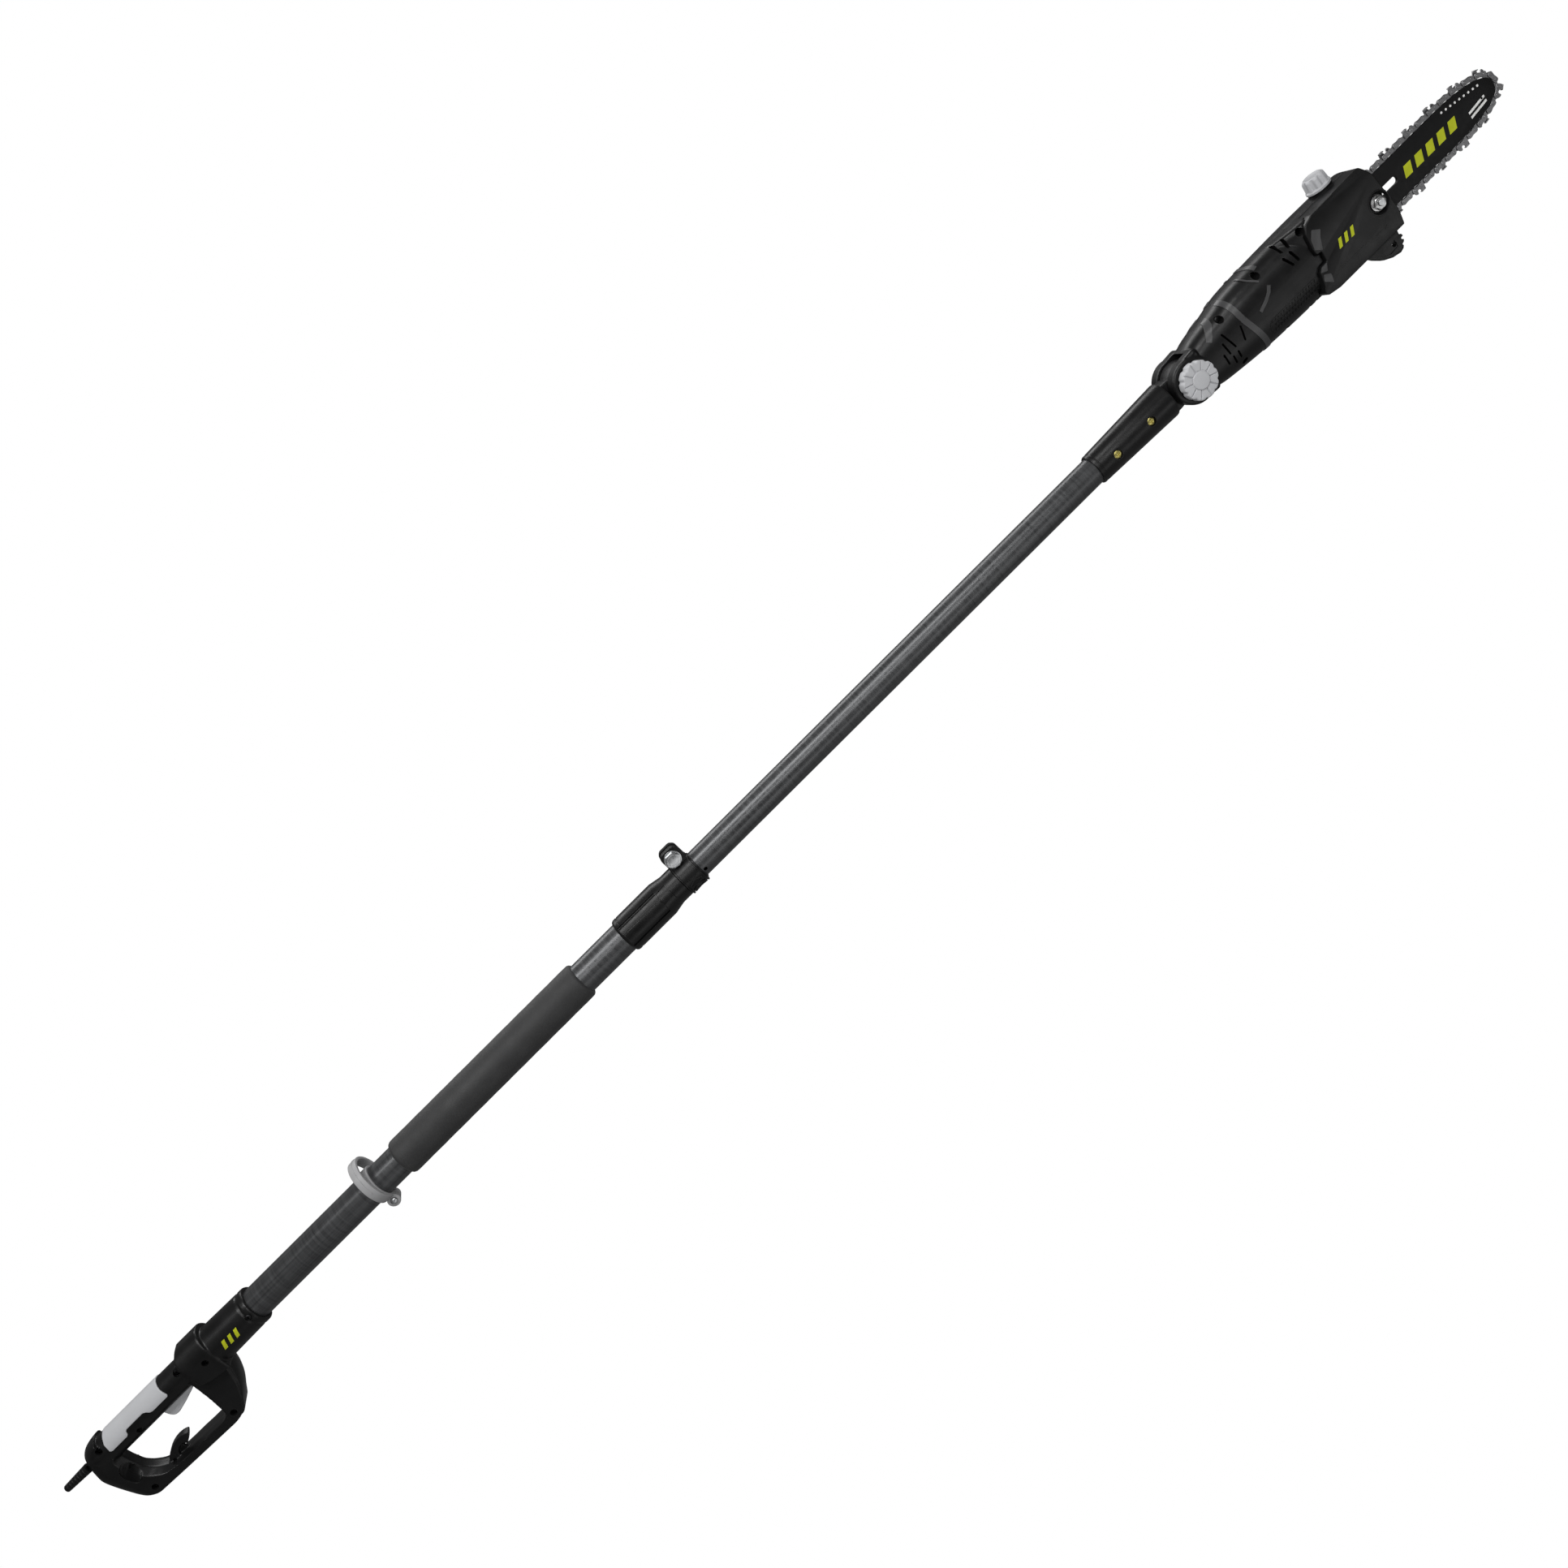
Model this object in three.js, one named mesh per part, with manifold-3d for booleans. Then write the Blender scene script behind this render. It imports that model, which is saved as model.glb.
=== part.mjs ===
// Corded telescoping pole saw.
// Frame: +X along the pole towards the saw head, +Z towards the oil cap, the pole axis on Y = Z = 0.
// Units: millimetres. The pole is stored at its full length with the head in line with it.
import * as THREE from "three";
import { ConvexGeometry } from "three/addons/geometries/ConvexGeometry.js";
import { mergeVertices } from "three/addons/utils/BufferGeometryUtils.js";
import Module from "manifold-3d";

const wasm = await Module();
wasm.setup();

// ---------------------------------------------------------------- driving dimensions
const GAP = 0.3; // between pieces that touch
const SPLIT = 0.15; // half the gap between two moulded half shells
const RUNNING = 0.15; // radial clearance of a turning shaft
const PIN_RUNNING = 0.25; // the same where a fastener's few facets turn in a bore
const ROUND = 24; // facets of a tube
const SMALL = 8; // facets of a fastener

const lowerTube = { rear: -985, front: -196, r: 20.75, bore: 18.75 };
const upperTube = { rear: -340, front: 640, r: 18.15, bore: 16.4 };
const grip = { rear: -1185, front: -1020, r: 19, bore: 15.5, z: 3.5 };
const gripInsert = { rear: -1157, front: -1059, r: 19.7, inner: 17.3, z: 2, notch: [-1129, -1095, 8.5] };
const handleHalfWidth = 17;
const collar = { rear: -1024, front: -982, halfWidth: 27, top: 33, bottom: -28 };
const sleeve = { front: -912, rBack: 26.5, rFront: 25.3 };
const trigger = { pivot: [-1034, -10], halfWidth: 6.5 };
const lockButton = { x: -1050, z: 3.5, r: 6.5, inside: 9, proud: 4.5 };
const ring = { x: -704, width: 13, r: 24, archR: 32.5, archWall: 4.5, archZ: 8.5, boltZ: -29 };
const foam = { rear: -660, front: -345, r: 25.3 };
const lockSleeve = { rear: -272, shoulder: -205, neck: -190, front: -145, r: 24.5, neckR: 21.5, clampR: 20 };
const clamp = {
  rear: -173, front: -147, r: 22, flangeR: 23.6, earTop: 44, earIn: 2.5, earOut: 10, boltX: -161, boltZ: 31,
};
const socket = { rear: 543, front: 668, rRear: 21, rFront: 25 };
const pivot = { x: 700, tongueR: 26.5, tongueHalf: 12, cheekR: 29, cheekIn: 13, cheekOut: 30, boltR: 5 };
const knob = { r: 24.4, back: -30.4, face: -45, lobes: 10 };
const wall = 3; // motor housing wall
const motor = { rear: 775, front: 905, shaftR: 4, stator: [812, 866, 31, 20], core: [816, 862, 19.3] };
const drive = { x: 945, shaftR: 6, gearTeeth: 20, pinionTeeth: 8, toothLength: [20, 27] };
const bar = { tail: 972, root: 986, taper: 1120, nose: 1216.5, half: 25.2, in: -18.4, out: -22.6 };
const barSlot = { rear: 990, front: 1051, half: 4.6 };
const stud = { x: 1004, r: 4 };
const chain = {
  in: -17.4, out: -23.6, below: 4, above: 4.5, cutter: 7.2, line: 4.3, wrapR: 22, pitch: 9.525,
};
const pocketFloor = -16; // bar side face of the housing behind the cover
const cover = { in: -16.4, out: -42, wall: 3 };
const cap = { x: 976.3, z: 53, r: 16.5, height: 18, ribs: 12 };

// Outer edge of the sprocket cover, in X and Z.
const coverOutline = [
  [925, 50], [913.5, 46.5], [906.8, 36.3], [904.2, 17], [905, 8.7], [912, 7.3], [910.6, -6], [901.8, -6.4],
  [895.8, -11.6], [891, -28.7], [887, -34.7], [890, -39.5], [907, -42.6], [1016.7, -42.4], [1020, -27.3],
  [1020.5, -16.8], [1016, 32.9], [1012.9, 40.1], [1006, 50.8],
];

// Half width, top and bottom of the motor housing at stations along X.
const housingStations = [
  [718, 29, 30.5, -30.5], [735, 31, 36, -35.5], [770, 34, 42, -39.5], [800, 36, 48, -42], [850, 37, 50, -44],
  [905, 37, 51, -45], [950, 35, 51, -44.5], [1000, 33, 50, -43], [1014, 31, 46, -40], [1022, 27, 38, -35],
];

// Reach towards -Y, at stations along X, of the shoulder that frames the cover's rear and top edges.
const shoulder = {
  z: 29, half: 21.6,
  stations: [[878, 24], [890, 30], [903, 36], [915, 39.5], [927, 41], [1000, 41.2], [1006, 40]],
};

// ---------------------------------------------------------------- materials
const plastic = (colour, roughness = 0.55) => new THREE.MeshStandardMaterial({ color: colour, roughness });
const metal = (colour, roughness = 0.35) =>
  new THREE.MeshStandardMaterial({ color: colour, roughness, metalness: 1 });
const materials = {
  black: plastic(0x1c1c1d),
  grey: plastic(0xc6c8cb, 0.45),
  inner: plastic(0x34383c, 0.7),
  foam: plastic(0x2c2d2e, 0.95),
  tube: metal(0x55585b, 0.45),
  zinc: metal(0xb9bcc0),
  yellowZinc: metal(0xb9a468),
  steel: metal(0x8d9093),
  blackSteel: metal(0x1d1e20, 0.5),
  copper: metal(0xb06a35),
};

// ---------------------------------------------------------------- solids from three.js geometry
function solid(geometry) {
  const plain = geometry.index ? geometry.toNonIndexed() : geometry.clone();
  plain.deleteAttribute("normal");
  plain.deleteAttribute("uv");
  const merged = mergeVertices(plain, 1e-4);
  return new wasm.Manifold(
    new wasm.Mesh({
      numProp: 3,
      vertProperties: merged.attributes.position.array,
      triVerts: new Uint32Array(merged.index.array),
    }),
  );
}

const join = (first, ...others) => others.reduce((sum, piece) => sum.add(piece), first);
const cut = (first, ...others) => others.reduce((rest, piece) => rest.subtract(piece), first);

function block([x0, x1], [y0, y1], [z0, z1]) {
  const geometry = new THREE.BoxGeometry(x1 - x0, y1 - y0, z1 - z0);
  return solid(geometry.translate((x0 + x1) / 2, (y0 + y1) / 2, (z0 + z1) / 2));
}

// A round solid about the X axis, from [x, radius] pairs in order of rising x.
function turned(profile, facets = ROUND, [y, z] = [0, 0]) {
  const ends = [[profile[0][0], 0], ...profile, [profile.at(-1)[0], 0]];
  const points = ends.map(([x, r]) => new THREE.Vector2(r, x));
  const geometry = new THREE.LatheGeometry(points, facets).rotateZ(-Math.PI / 2);
  return solid(geometry.translate(0, y, z));
}

const rodX = (x0, x1, r, facets = ROUND, at = [0, 0]) => turned([[x0, r], [x1, r]], facets, at);
const ringX = (x0, x1, r, bore, facets = ROUND, at = [0, 0]) =>
  cut(rodX(x0, x1, r, facets, at), rodX(x0 - 1, x1 + 1, bore, facets, at));

// A rod along Y between y0 and y1, with its axis at X and Z.
function rodY(y0, y1, r, [x, z], facets = SMALL) {
  const geometry = new THREE.CylinderGeometry(r, r, y1 - y0, facets);
  return solid(geometry.translate(x, (y0 + y1) / 2, z));
}

const ringY = (y0, y1, r, bore, at, facets = 16) =>
  cut(rodY(y0, y1, r, at, facets), rodY(y0 - 1, y1 + 1, bore, at, facets));

// An outline in X and Z made solid between y0 and y1, with its edges rounded by soft.
function plate(outline, y0, y1, soft = 0, hole = null) {
  const shape = new THREE.Shape(outline.map(([x, z]) => new THREE.Vector2(x, z)));
  if (hole) shape.holes.push(new THREE.Path(hole.map(([x, z]) => new THREE.Vector2(x, z))));
  const geometry = new THREE.ExtrudeGeometry(shape, {
    depth: y1 - y0 - 2 * soft,
    bevelEnabled: soft > 0,
    bevelThickness: soft,
    bevelSize: soft,
    bevelOffset: -soft,
    bevelSegments: 1,
  });
  return solid(geometry.rotateX(Math.PI / 2).translate(0, y1 - soft, 0));
}

// An outline in Y and Z made solid between x0 and x1.
function slice(outline, x0, x1) {
  const shape = new THREE.Shape(outline.map(([y, z]) => new THREE.Vector2(y, z)));
  const geometry = new THREE.ExtrudeGeometry(shape, { depth: x1 - x0, bevelEnabled: false });
  return solid(geometry.rotateX(Math.PI / 2).rotateZ(Math.PI / 2).translate(x0, 0, 0));
}

const circle = (r, [u, v], facets = ROUND) =>
  Array.from({ length: facets }, (_, i) => {
    const turn = (2 * Math.PI * i) / facets;
    return [u + r * Math.cos(turn), v + r * Math.sin(turn)];
  });

// The outline moved outwards by distance, with mitred corners.
function offset(outline, distance) {
  const clockwise = THREE.ShapeUtils.isClockWise(outline.map(([x, z]) => new THREE.Vector2(x, z)));
  const outwards = clockwise ? -distance : distance;
  return outline.map((point, i) => {
    const before = outline.at(i - 1);
    const after = outline[(i + 1) % outline.length];
    const a = new THREE.Vector2(point[0] - before[0], point[1] - before[1]).normalize();
    const b = new THREE.Vector2(after[0] - point[0], after[1] - point[1]).normalize();
    const normal = new THREE.Vector2(a.y + b.y, -a.x - b.x).normalize();
    const mitre = outwards / Math.max(0.5, normal.x * a.y - normal.y * a.x);
    return [point[0] + normal.x * mitre, point[1] + normal.y * mitre];
  });
}

// A closed skin over sections that have the same number of points, with flat ends.
function loft(sections) {
  const count = sections[0].length;
  const corners = [];
  const quad = (p, q, r, s) => corners.push(p, q, r, p, r, s);
  for (let i = 0; i + 1 < sections.length; i++) {
    for (let j = 0; j < count; j++) {
      const k = (j + 1) % count;
      quad(sections[i][j], sections[i][k], sections[i + 1][k], sections[i + 1][j]);
    }
  }
  const first = sections[0];
  const last = sections.at(-1);
  for (let j = 1; j + 1 < count; j++) {
    corners.push(first[0], first[j + 1], first[j]);
    corners.push(last[0], last[j], last[j + 1]);
  }
  const geometry = new THREE.BufferGeometry();
  geometry.setAttribute("position", new THREE.Float32BufferAttribute(corners.flat(), 3));
  return solid(geometry);
}

// Squarish oval section of the motor housing, shrunk by inset.
function ovalSection([x, halfWidth, top, bottom], inset = 0, points = 16) {
  const squareness = 2 / 2.7;
  const centre = (top + bottom) / 2;
  const half = (top - bottom) / 2 - inset;
  const bend = (value) => Math.sign(value) * Math.abs(value) ** squareness;
  return Array.from({ length: points }, (_, i) => {
    const turn = (2 * Math.PI * i) / points;
    return [x, (halfWidth - inset) * bend(Math.cos(turn)), centre + half * bend(Math.sin(turn))];
  });
}

const everything = [-2000, 2000];
const rightSide = block(everything, [-200, -SPLIT], everything);
const leftSide = block(everything, [SPLIT, 200], everything);

// ---------------------------------------------------------------- the object's groups
const poleSaw = new THREE.Group();
const handle = new THREE.Group();
const upperPole = new THREE.Group();
const sawHead = new THREE.Group();
poleSaw.add(handle, upperPole, sawHead);

function addPiece(group, name, piece, material) {
  const mesh = piece.getMesh();
  const geometry = new THREE.BufferGeometry();
  geometry.setAttribute("position", new THREE.BufferAttribute(mesh.vertProperties, 3));
  geometry.setIndex(new THREE.BufferAttribute(mesh.triVerts, 1));
  geometry.computeVertexNormals();
  const object = new THREE.Mesh(geometry, material);
  object.name = name;
  group.add(object);
}

// ---------------------------------------------------------------- handle
// Screw places [x, z, seat]: seat is the Y of the face under the screw head.
const handleScrews = [
  [-1167, 13, -11], [-1116, -5, -12], [-1033, 14, -11], [-996, 1, -20], [-1167, -72, -10], [-1033, -75, -10],
];
const screw = { headR: 3.6, headHeight: 2.6, shankR: 1.6, reach: 9 };

// Edges of the hand guard in X and Z: at the parting plane, and where its flat sides end.
const guardOutside = [
  [-1170, 25.5], [-1183, 23.5], [-1191, 18], [-1196.5, 10], [-1202, -5], [-1206, -21.5], [-1204.5, -31],
  [-1201, -46], [-1194.5, -67], [-1189, -77], [-1178, -84], [-1120, -87], [-1046, -89.5], [-1035, -88],
  [-1025, -83], [-1009, -70.5], [-996.5, -57], [-986.5, -40.5], [-981.5, -27], [-985, 20], [-1060, 21.5],
];
const guardOutsideFlat = [
  [-1160, 20], [-1165, 18.5], [-1170, 14], [-1174, 7], [-1178, -5], [-1181, -19], [-1180, -30],
  [-1177.5, -44], [-1175.5, -61], [-1174, -73], [-1166, -81], [-1118, -83], [-1040, -86], [-1029, -84.5],
  [-1021, -78], [-1010, -67], [-1001.5, -55], [-994, -40], [-989, -22], [-990, 20], [-1060, 21.5],
];
const guardInside = [
  [-1162, -8], [-1161, -28], [-1158, -46], [-1151, -58], [-1141, -66], [-1125, -71], [-1050, -74],
  [-1043, -70], [-1038, -40], [-1035, -8],
];
const guardInsideFlat = [
  [-1172, -8], [-1175, -24], [-1171, -42], [-1162.5, -57], [-1150, -69], [-1128, -73.5], [-1049, -75],
  [-1039.5, -70], [-1035.5, -40], [-1033.5, -8],
];
const loopBarTop = -8.5; // the grip's sides are clear of the guard above this height

// Skin across the guard that goes from its middle outline to its flat one by way of blend.
function acrossGuard(middle, flat, reach, blend) {
  const layers = [1, 0.8, 0.45, 0, -0.45, -0.8, -1];
  return loft(
    layers.map((layer) =>
      middle.map(([x, z], i) => {
        const share = blend(Math.abs(layer));
        return [x + (flat[i][0] - x) * share, layer * reach, z + (flat[i][1] - z) * share];
      }),
    ),
  );
}

function handGuard() {
  const bulge = (y) => 1 - Math.sqrt(1 - 0.9 * y * y);
  const flare = (y) => Math.max(0, y - 0.35) / 0.65;
  const outside = acrossGuard(guardOutside, guardOutsideFlat, handleHalfWidth, bulge);
  const inside = acrossGuard(guardInside, guardInsideFlat, handleHalfWidth + 3, flare);
  return cut(outside, inside, block([-1166, -1031], everything, [loopBarTop, 60]));
}

function handleBody() {
  const tube = rodX(grip.rear, grip.front, grip.r, 16, [0, grip.z]);
  const { rear, front, halfWidth, top, bottom } = collar;
  const band = slice(
    [
      [-halfWidth, bottom], [halfWidth, bottom], [halfWidth, 12], [halfWidth * 0.8, 24],
      [halfWidth * 0.4, top],
      [-halfWidth * 0.4, top], [-halfWidth * 0.8, 24], [-halfWidth, 12],
    ],
    rear,
    front,
  );
  const nose = turned([[rear + 10, sleeve.rBack], [front, sleeve.rBack], [sleeve.front, sleeve.rFront]]);
  return join(handGuard(), tube, band, nose);
}

function handleHollows() {
  const gripBore = rodX(grip.rear + 12, collar.rear + 16, grip.bore, 16, [0, grip.z]);
  const tubeSeat = rodX(lowerTube.rear - GAP, sleeve.front + 10, lowerTube.r + GAP);
  const leadWays = [
    rodX(grip.rear - 30, grip.rear + 20, 4, SMALL, [0, 2]),
    rodX(-1015, -975, 4.5, SMALL, [0, 10]),
  ];
  const webHollow = plate(
    [[-1029, -10], [-994, -10], [-996, -28], [-1005, -50], [-1018, -66], [-1034, -66], [-1031, -40]],
    -11,
    11,
  );
  const { halfWidth } = trigger;
  const triggerSlot = block([-1092, -1030], [-halfWidth - 1, halfWidth + 1], [-40, 0]);
  const hookWindow = plate(
    [[-1174.5, -23.5], [-1165, -23.5], [-1162.5, -46], [-1173.5, -52], [-1179, -36]],
    -30,
    30,
  );
  const buttonHole = rodY(0, 40, lockButton.r + GAP, [lockButton.x, lockButton.z], 16);
  return [gripBore, tubeSeat, ...leadWays, webHollow, triggerSlot, hookWindow, buttonHole];
}

// Room for the pale insert on top of the grip; grow widens it all round.
function insertSpace(grow) {
  const { rear, front, r, inner, z, notch } = gripInsert;
  const shell = cut(
    rodX(rear - grow, front + grow, r + 2 * grow, 16, [0, grip.z]),
    rodX(rear - 9, front + 9, inner - grow, 16, [0, grip.z]),
  );
  const below = block(everything, [-60, 60], [-60, z - grow]);
  const raised = block([notch[0] + grow, notch[1] - grow], [-60, 60], [-60, notch[2] - grow]);
  return cut(shell, below, raised);
}

// A hook for the extension lead, open towards the saw head, standing on the loop's lower bar.
function cordHook() {
  const outline = [
    [-1142, -76], [-1137, -66], [-1127, -57], [-1114, -52], [-1103, -52], [-1094, -56], [-1099, -62],
    [-1104, -65], [-1108, -62], [-1116, -62], [-1123, -67], [-1121, -71], [-1113, -76],
  ];
  return plate(outline, -6.5, 6.5, 1.2);
}

const screwBosses = handleScrews.map(([x, z]) => rodY(-15, 15, 4.6, [x, z]));
const screwHoles = handleScrews.map(([x, z, seat]) =>
  join(
    rodY(-60, seat, screw.headR + 0.8, [x, z]),
    rodY(seat - 1, screw.reach + 1, screw.shankR + GAP, [x, z]),
  ),
);

const handleSolid = cut(
  join(cut(handleBody(), ...handleHollows(), insertSpace(GAP)), cordHook(), ...screwBosses),
  ...screwHoles,
  insertSpace(GAP),
);
const sleeveScrew = { x: -920, z: 3, seat: -23.5, tip: -19.1 };
const sleeveScrewHole = join(
  rodY(-40, sleeveScrew.seat, screw.headR + 0.8, [sleeveScrew.x, sleeveScrew.z]),
  rodY(sleeveScrew.seat - 1, -10, screw.shankR + GAP, [sleeveScrew.x, sleeveScrew.z]),
);
const rightShell = cut(handleSolid, sleeveScrewHole).intersect(rightSide);
addPiece(handle, "handle_shell_right", rightShell, materials.black);
addPiece(handle, "handle_shell_left", handleSolid.intersect(leftSide), materials.black);
addPiece(handle, "grip_insert", insertSpace(0), materials.grey);

function crossScrew(seat, tip, at) {
  return join(
    rodY(seat - screw.headHeight, seat - GAP, screw.headR, at),
    rodY(seat - 1, tip, screw.shankR, at),
  );
}
handleScrews.forEach(([x, z, seat], i) => {
  addPiece(handle, `handle_screw_${i + 1}`, crossScrew(seat, screw.reach, [x, z]), materials.blackSteel);
});
const tubeScrew = crossScrew(sleeveScrew.seat, sleeveScrew.tip, [sleeveScrew.x, sleeveScrew.z]);
addPiece(handle, "tube_screw", tubeScrew, materials.blackSteel);

const strainRelief = cut(
  turned([[-1240, 4.75], [-1202.6, 6.5]], 16, [0, 2]),
  rodX(-1250, -1190, 3.2, SMALL, [0, 2]),
);
addPiece(handle, "strain_relief", strainRelief, materials.black);

const switchBody = join(
  block([-1086, -1062], [-8, 8], [5, 15]),
  block([-1076, -1070], [-3, 3], [3.2, 6]),
);
addPiece(handle, "power_switch", switchBody, materials.inner);

const triggerOutline = [
  [-1088, -9], [-1089, -14], [-1086, -24], [-1082, -28], [-1076, -28.5], [-1060, -24], [-1042, -18],
  [-1031, -14], [-1030.5, -7], [-1040, -7.5],
];
const triggerBody = cut(
  plate(triggerOutline, -trigger.halfWidth, trigger.halfWidth, 1.5),
  rodY(-20, 20, 2 + PIN_RUNNING, trigger.pivot),
);
addPiece(handle, "trigger", triggerBody, materials.grey);
addPiece(handle, "trigger_pin", rodY(-7.2, 7.2, 2, trigger.pivot), materials.steel);

const buttonAt = [lockButton.x, lockButton.z];
const buttonBody = rodY(lockButton.inside, grip.r + lockButton.proud, lockButton.r, buttonAt, 16);
addPiece(handle, "lock_off_button", buttonBody, materials.grey);

// ---------------------------------------------------------------- lower pole
const lowerTubeBody = cut(
  ringX(lowerTube.rear, lowerTube.front, lowerTube.r, lowerTube.bore),
  rodY(-40, -10, screw.shankR + GAP, [sleeveScrew.x, sleeveScrew.z]),
);
addPiece(handle, "lower_tube", lowerTubeBody, materials.tube);

const foamSoft = 5;
const foamBody = cut(
  turned([
    [foam.rear, foam.r - foamSoft], [foam.rear + 1.5, foam.r - 2], [foam.rear + foamSoft, foam.r],
    [foam.front - foamSoft, foam.r], [foam.front - 1.5, foam.r - 2], [foam.front, foam.r - foamSoft],
  ]),
  rodX(foam.rear - 1, foam.front + 1, lowerTube.r + GAP),
);
addPiece(handle, "foam_grip", foamBody, materials.foam);

// Carrying ring: a split collar on the tube with an arch over it for a strap hook.
function strapRing() {
  const { x, width, r, archR, archWall, archZ, boltZ } = ring;
  const [x0, x1] = [x - width / 2, x + width / 2];
  const collarBand = rodX(x0, x1, r);
  const arch = cut(
    slice(circle(archR, [0, archZ]), x0, x1),
    slice(circle(archR - archWall, [0, archZ]), x0 - 1, x1 + 1),
  );
  const ears = join(
    rodY(-9, 9, 8.5, [x, boltZ], 16),
    block([x0, x1], [-9, 9], [boltZ + 3, -18]),
  );
  const trimmedEars = ears.intersect(block([x0, x1], [-9, 9], [-60, 0]));
  return cut(
    join(collarBand, arch, trimmedEars),
    rodX(x0 - 1, x1 + 1, lowerTube.r + GAP),
    block([x0 - 1, x1 + 1], [-2, 2], [-60, -15]),
    rodY(-20, 20, 2.5 + GAP, [x, boltZ]),
  );
}
addPiece(handle, "strap_ring", strapRing(), materials.grey);
const ringScrewAt = [ring.x, ring.boltZ];
const ringScrew = join(rodY(-12, -9 - GAP, 4.2, ringScrewAt), rodY(-10, 11, 2.5, ringScrewAt));
addPiece(handle, "strap_ring_screw", ringScrew, materials.zinc);

// Sleeve fixed on the front of the lower tube; its slit neck is squeezed on the upper tube.
function lockSleeveBody() {
  const { rear, shoulder, neck, front, r, neckR, clampR } = lockSleeve;
  const outside = turned([
    [rear, r - 3], [rear + 1, r - 1], [rear + 4, r], [shoulder, r], [neck, neckR],
    [clamp.rear - 1, neckR], [clamp.rear - 0.5, clampR], [front, clampR],
  ]);
  const slit = block([neck + 6, front + 1], [-1, 1], [10, 40]);
  return cut(
    outside,
    rodX(rear - 1, lowerTube.front + GAP, lowerTube.r + GAP),
    rodX(rear, front + 1, upperTube.r + GAP),
    slit,
  );
}
addPiece(handle, "lock_sleeve", lockSleeveBody(), materials.black);

function clampBand() {
  const { rear, front, r, flangeR, earTop, earIn, earOut, boltX, boltZ } = clamp;
  const flange = 2;
  const lips = join(rodX(rear, rear + flange, flangeR), rodX(front - flange, front, flangeR));
  const band = join(rodX(rear, front, r), lips);
  const ears = block([rear, front], [-earOut, earOut], [10, earTop]);
  return cut(
    join(band, ears),
    rodX(rear - 1, front + 1, lockSleeve.clampR + GAP),
    block([rear - 1, front + 1], [-earIn, earIn], [10, earTop + 1]),
    rodY(-20, 20, 4 + GAP, [boltX, boltZ]),
  );
}
addPiece(handle, "clamp_band", clampBand(), materials.black);

const clampBolt = join(
  rodY(-clamp.earOut - 6, -clamp.earOut - GAP, 10.4, [clamp.boltX, clamp.boltZ], 6),
  rodY(-clamp.earOut - 1, 21, 4, [clamp.boltX, clamp.boltZ]),
);
const leverPivot = { y: 17, z: clamp.boltZ, r: 2.5 };
const leverPinAt = [leverPivot.y, leverPivot.z];
const pinSpan = [clamp.rear + 1, clamp.front - 1];
const boltEye = cut(clampBolt, rodX(-200, -100, leverPivot.r + PIN_RUNNING, SMALL, leverPinAt));
addPiece(handle, "clamp_bolt", boltEye, materials.zinc);
addPiece(handle, "lever_pin", rodX(...pinSpan, leverPivot.r, SMALL, leverPinAt), materials.steel);

// Cam lever on the hidden side; closed, it lies round the tube.
function clampLever() {
  const cam = rodX(clamp.rear + 2, clamp.front - 2, 6.4, 16, leverPinAt);
  const arm = slice(
    [
      [15, 26], [23, 30], [30, 19], [33, 5], [32, -12], [29, -20], [26, -18], [28, -8], [28.5, 5], [25, 16],
    ],
    clamp.rear + 2,
    clamp.front - 2,
  );
  return cut(
    join(cam, arm),
    rodX(-200, -100, leverPivot.r + PIN_RUNNING, SMALL, leverPinAt),
    block([clamp.boltX - 5, clamp.boltX + 5], [0, 40], [24, 60]),
  );
}
addPiece(handle, "clamp_lever", clampLever(), materials.black);

// ---------------------------------------------------------------- upper pole
const upperTubeBody = ringX(upperTube.rear, upperTube.front, upperTube.r, upperTube.bore);
addPiece(upperPole, "upper_tube", upperTubeBody, materials.tube);
const slideBush = cut(
  join(
    rodX(upperTube.rear - 8, upperTube.rear - GAP, lowerTube.bore - 0.15),
    rodX(upperTube.rear - 2, upperTube.rear + 14, upperTube.bore - GAP),
  ),
  rodX(upperTube.rear - 20, upperTube.rear + 20, 12),
);
addPiece(upperPole, "slide_bush", slideBush, materials.inner);

const bracketScrews = [572.5, 629.5];
const bracketScrewAt = (x) => [x, 0];
function headBracket() {
  const { rear, front, rRear, rFront } = socket;
  const outside = turned([[rear, rRear - 1], [rear + 2, rRear], [front - 2, rFront], [front, rFront - 2]]);
  const { x, tongueR, tongueHalf, boltR } = pivot;
  const tongue = plate(
    [[front - 12, 22], [x - 22, 20], [x, 16], [x, -16], [x - 22, -20], [front - 12, -22]],
    -tongueHalf,
    tongueHalf,
  );
  const disc = rodY(-tongueHalf, tongueHalf, tongueR, [x, 0], 16);
  const holes = bracketScrews.map((place) => rodY(-40, 0, 2.5 + GAP, bracketScrewAt(place)));
  const recesses = bracketScrews.map((place) => rodY(-40, -19.6, 6, bracketScrewAt(place)));
  return cut(
    join(outside, tongue, disc),
    rodX(rear - 1, upperTube.front + GAP, upperTube.r + GAP),
    rodX(upperTube.front - 1, front + 4, 8, 16),
    rodY(-40, 40, boltR + RUNNING, [x, 0], 16),
    ...holes,
    ...recesses,
  );
}
addPiece(upperPole, "head_bracket", headBracket(), materials.black);
bracketScrews.forEach((place, i) => {
  const piece = join(
    rodY(-21.8, -19.6 - GAP, 5, bracketScrewAt(place)),
    rodY(-20.5, -upperTube.r - 0.6, 2.5, bracketScrewAt(place)),
  );
  addPiece(upperPole, `bracket_screw_${i + 1}`, piece, materials.yellowZinc);
});

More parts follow.
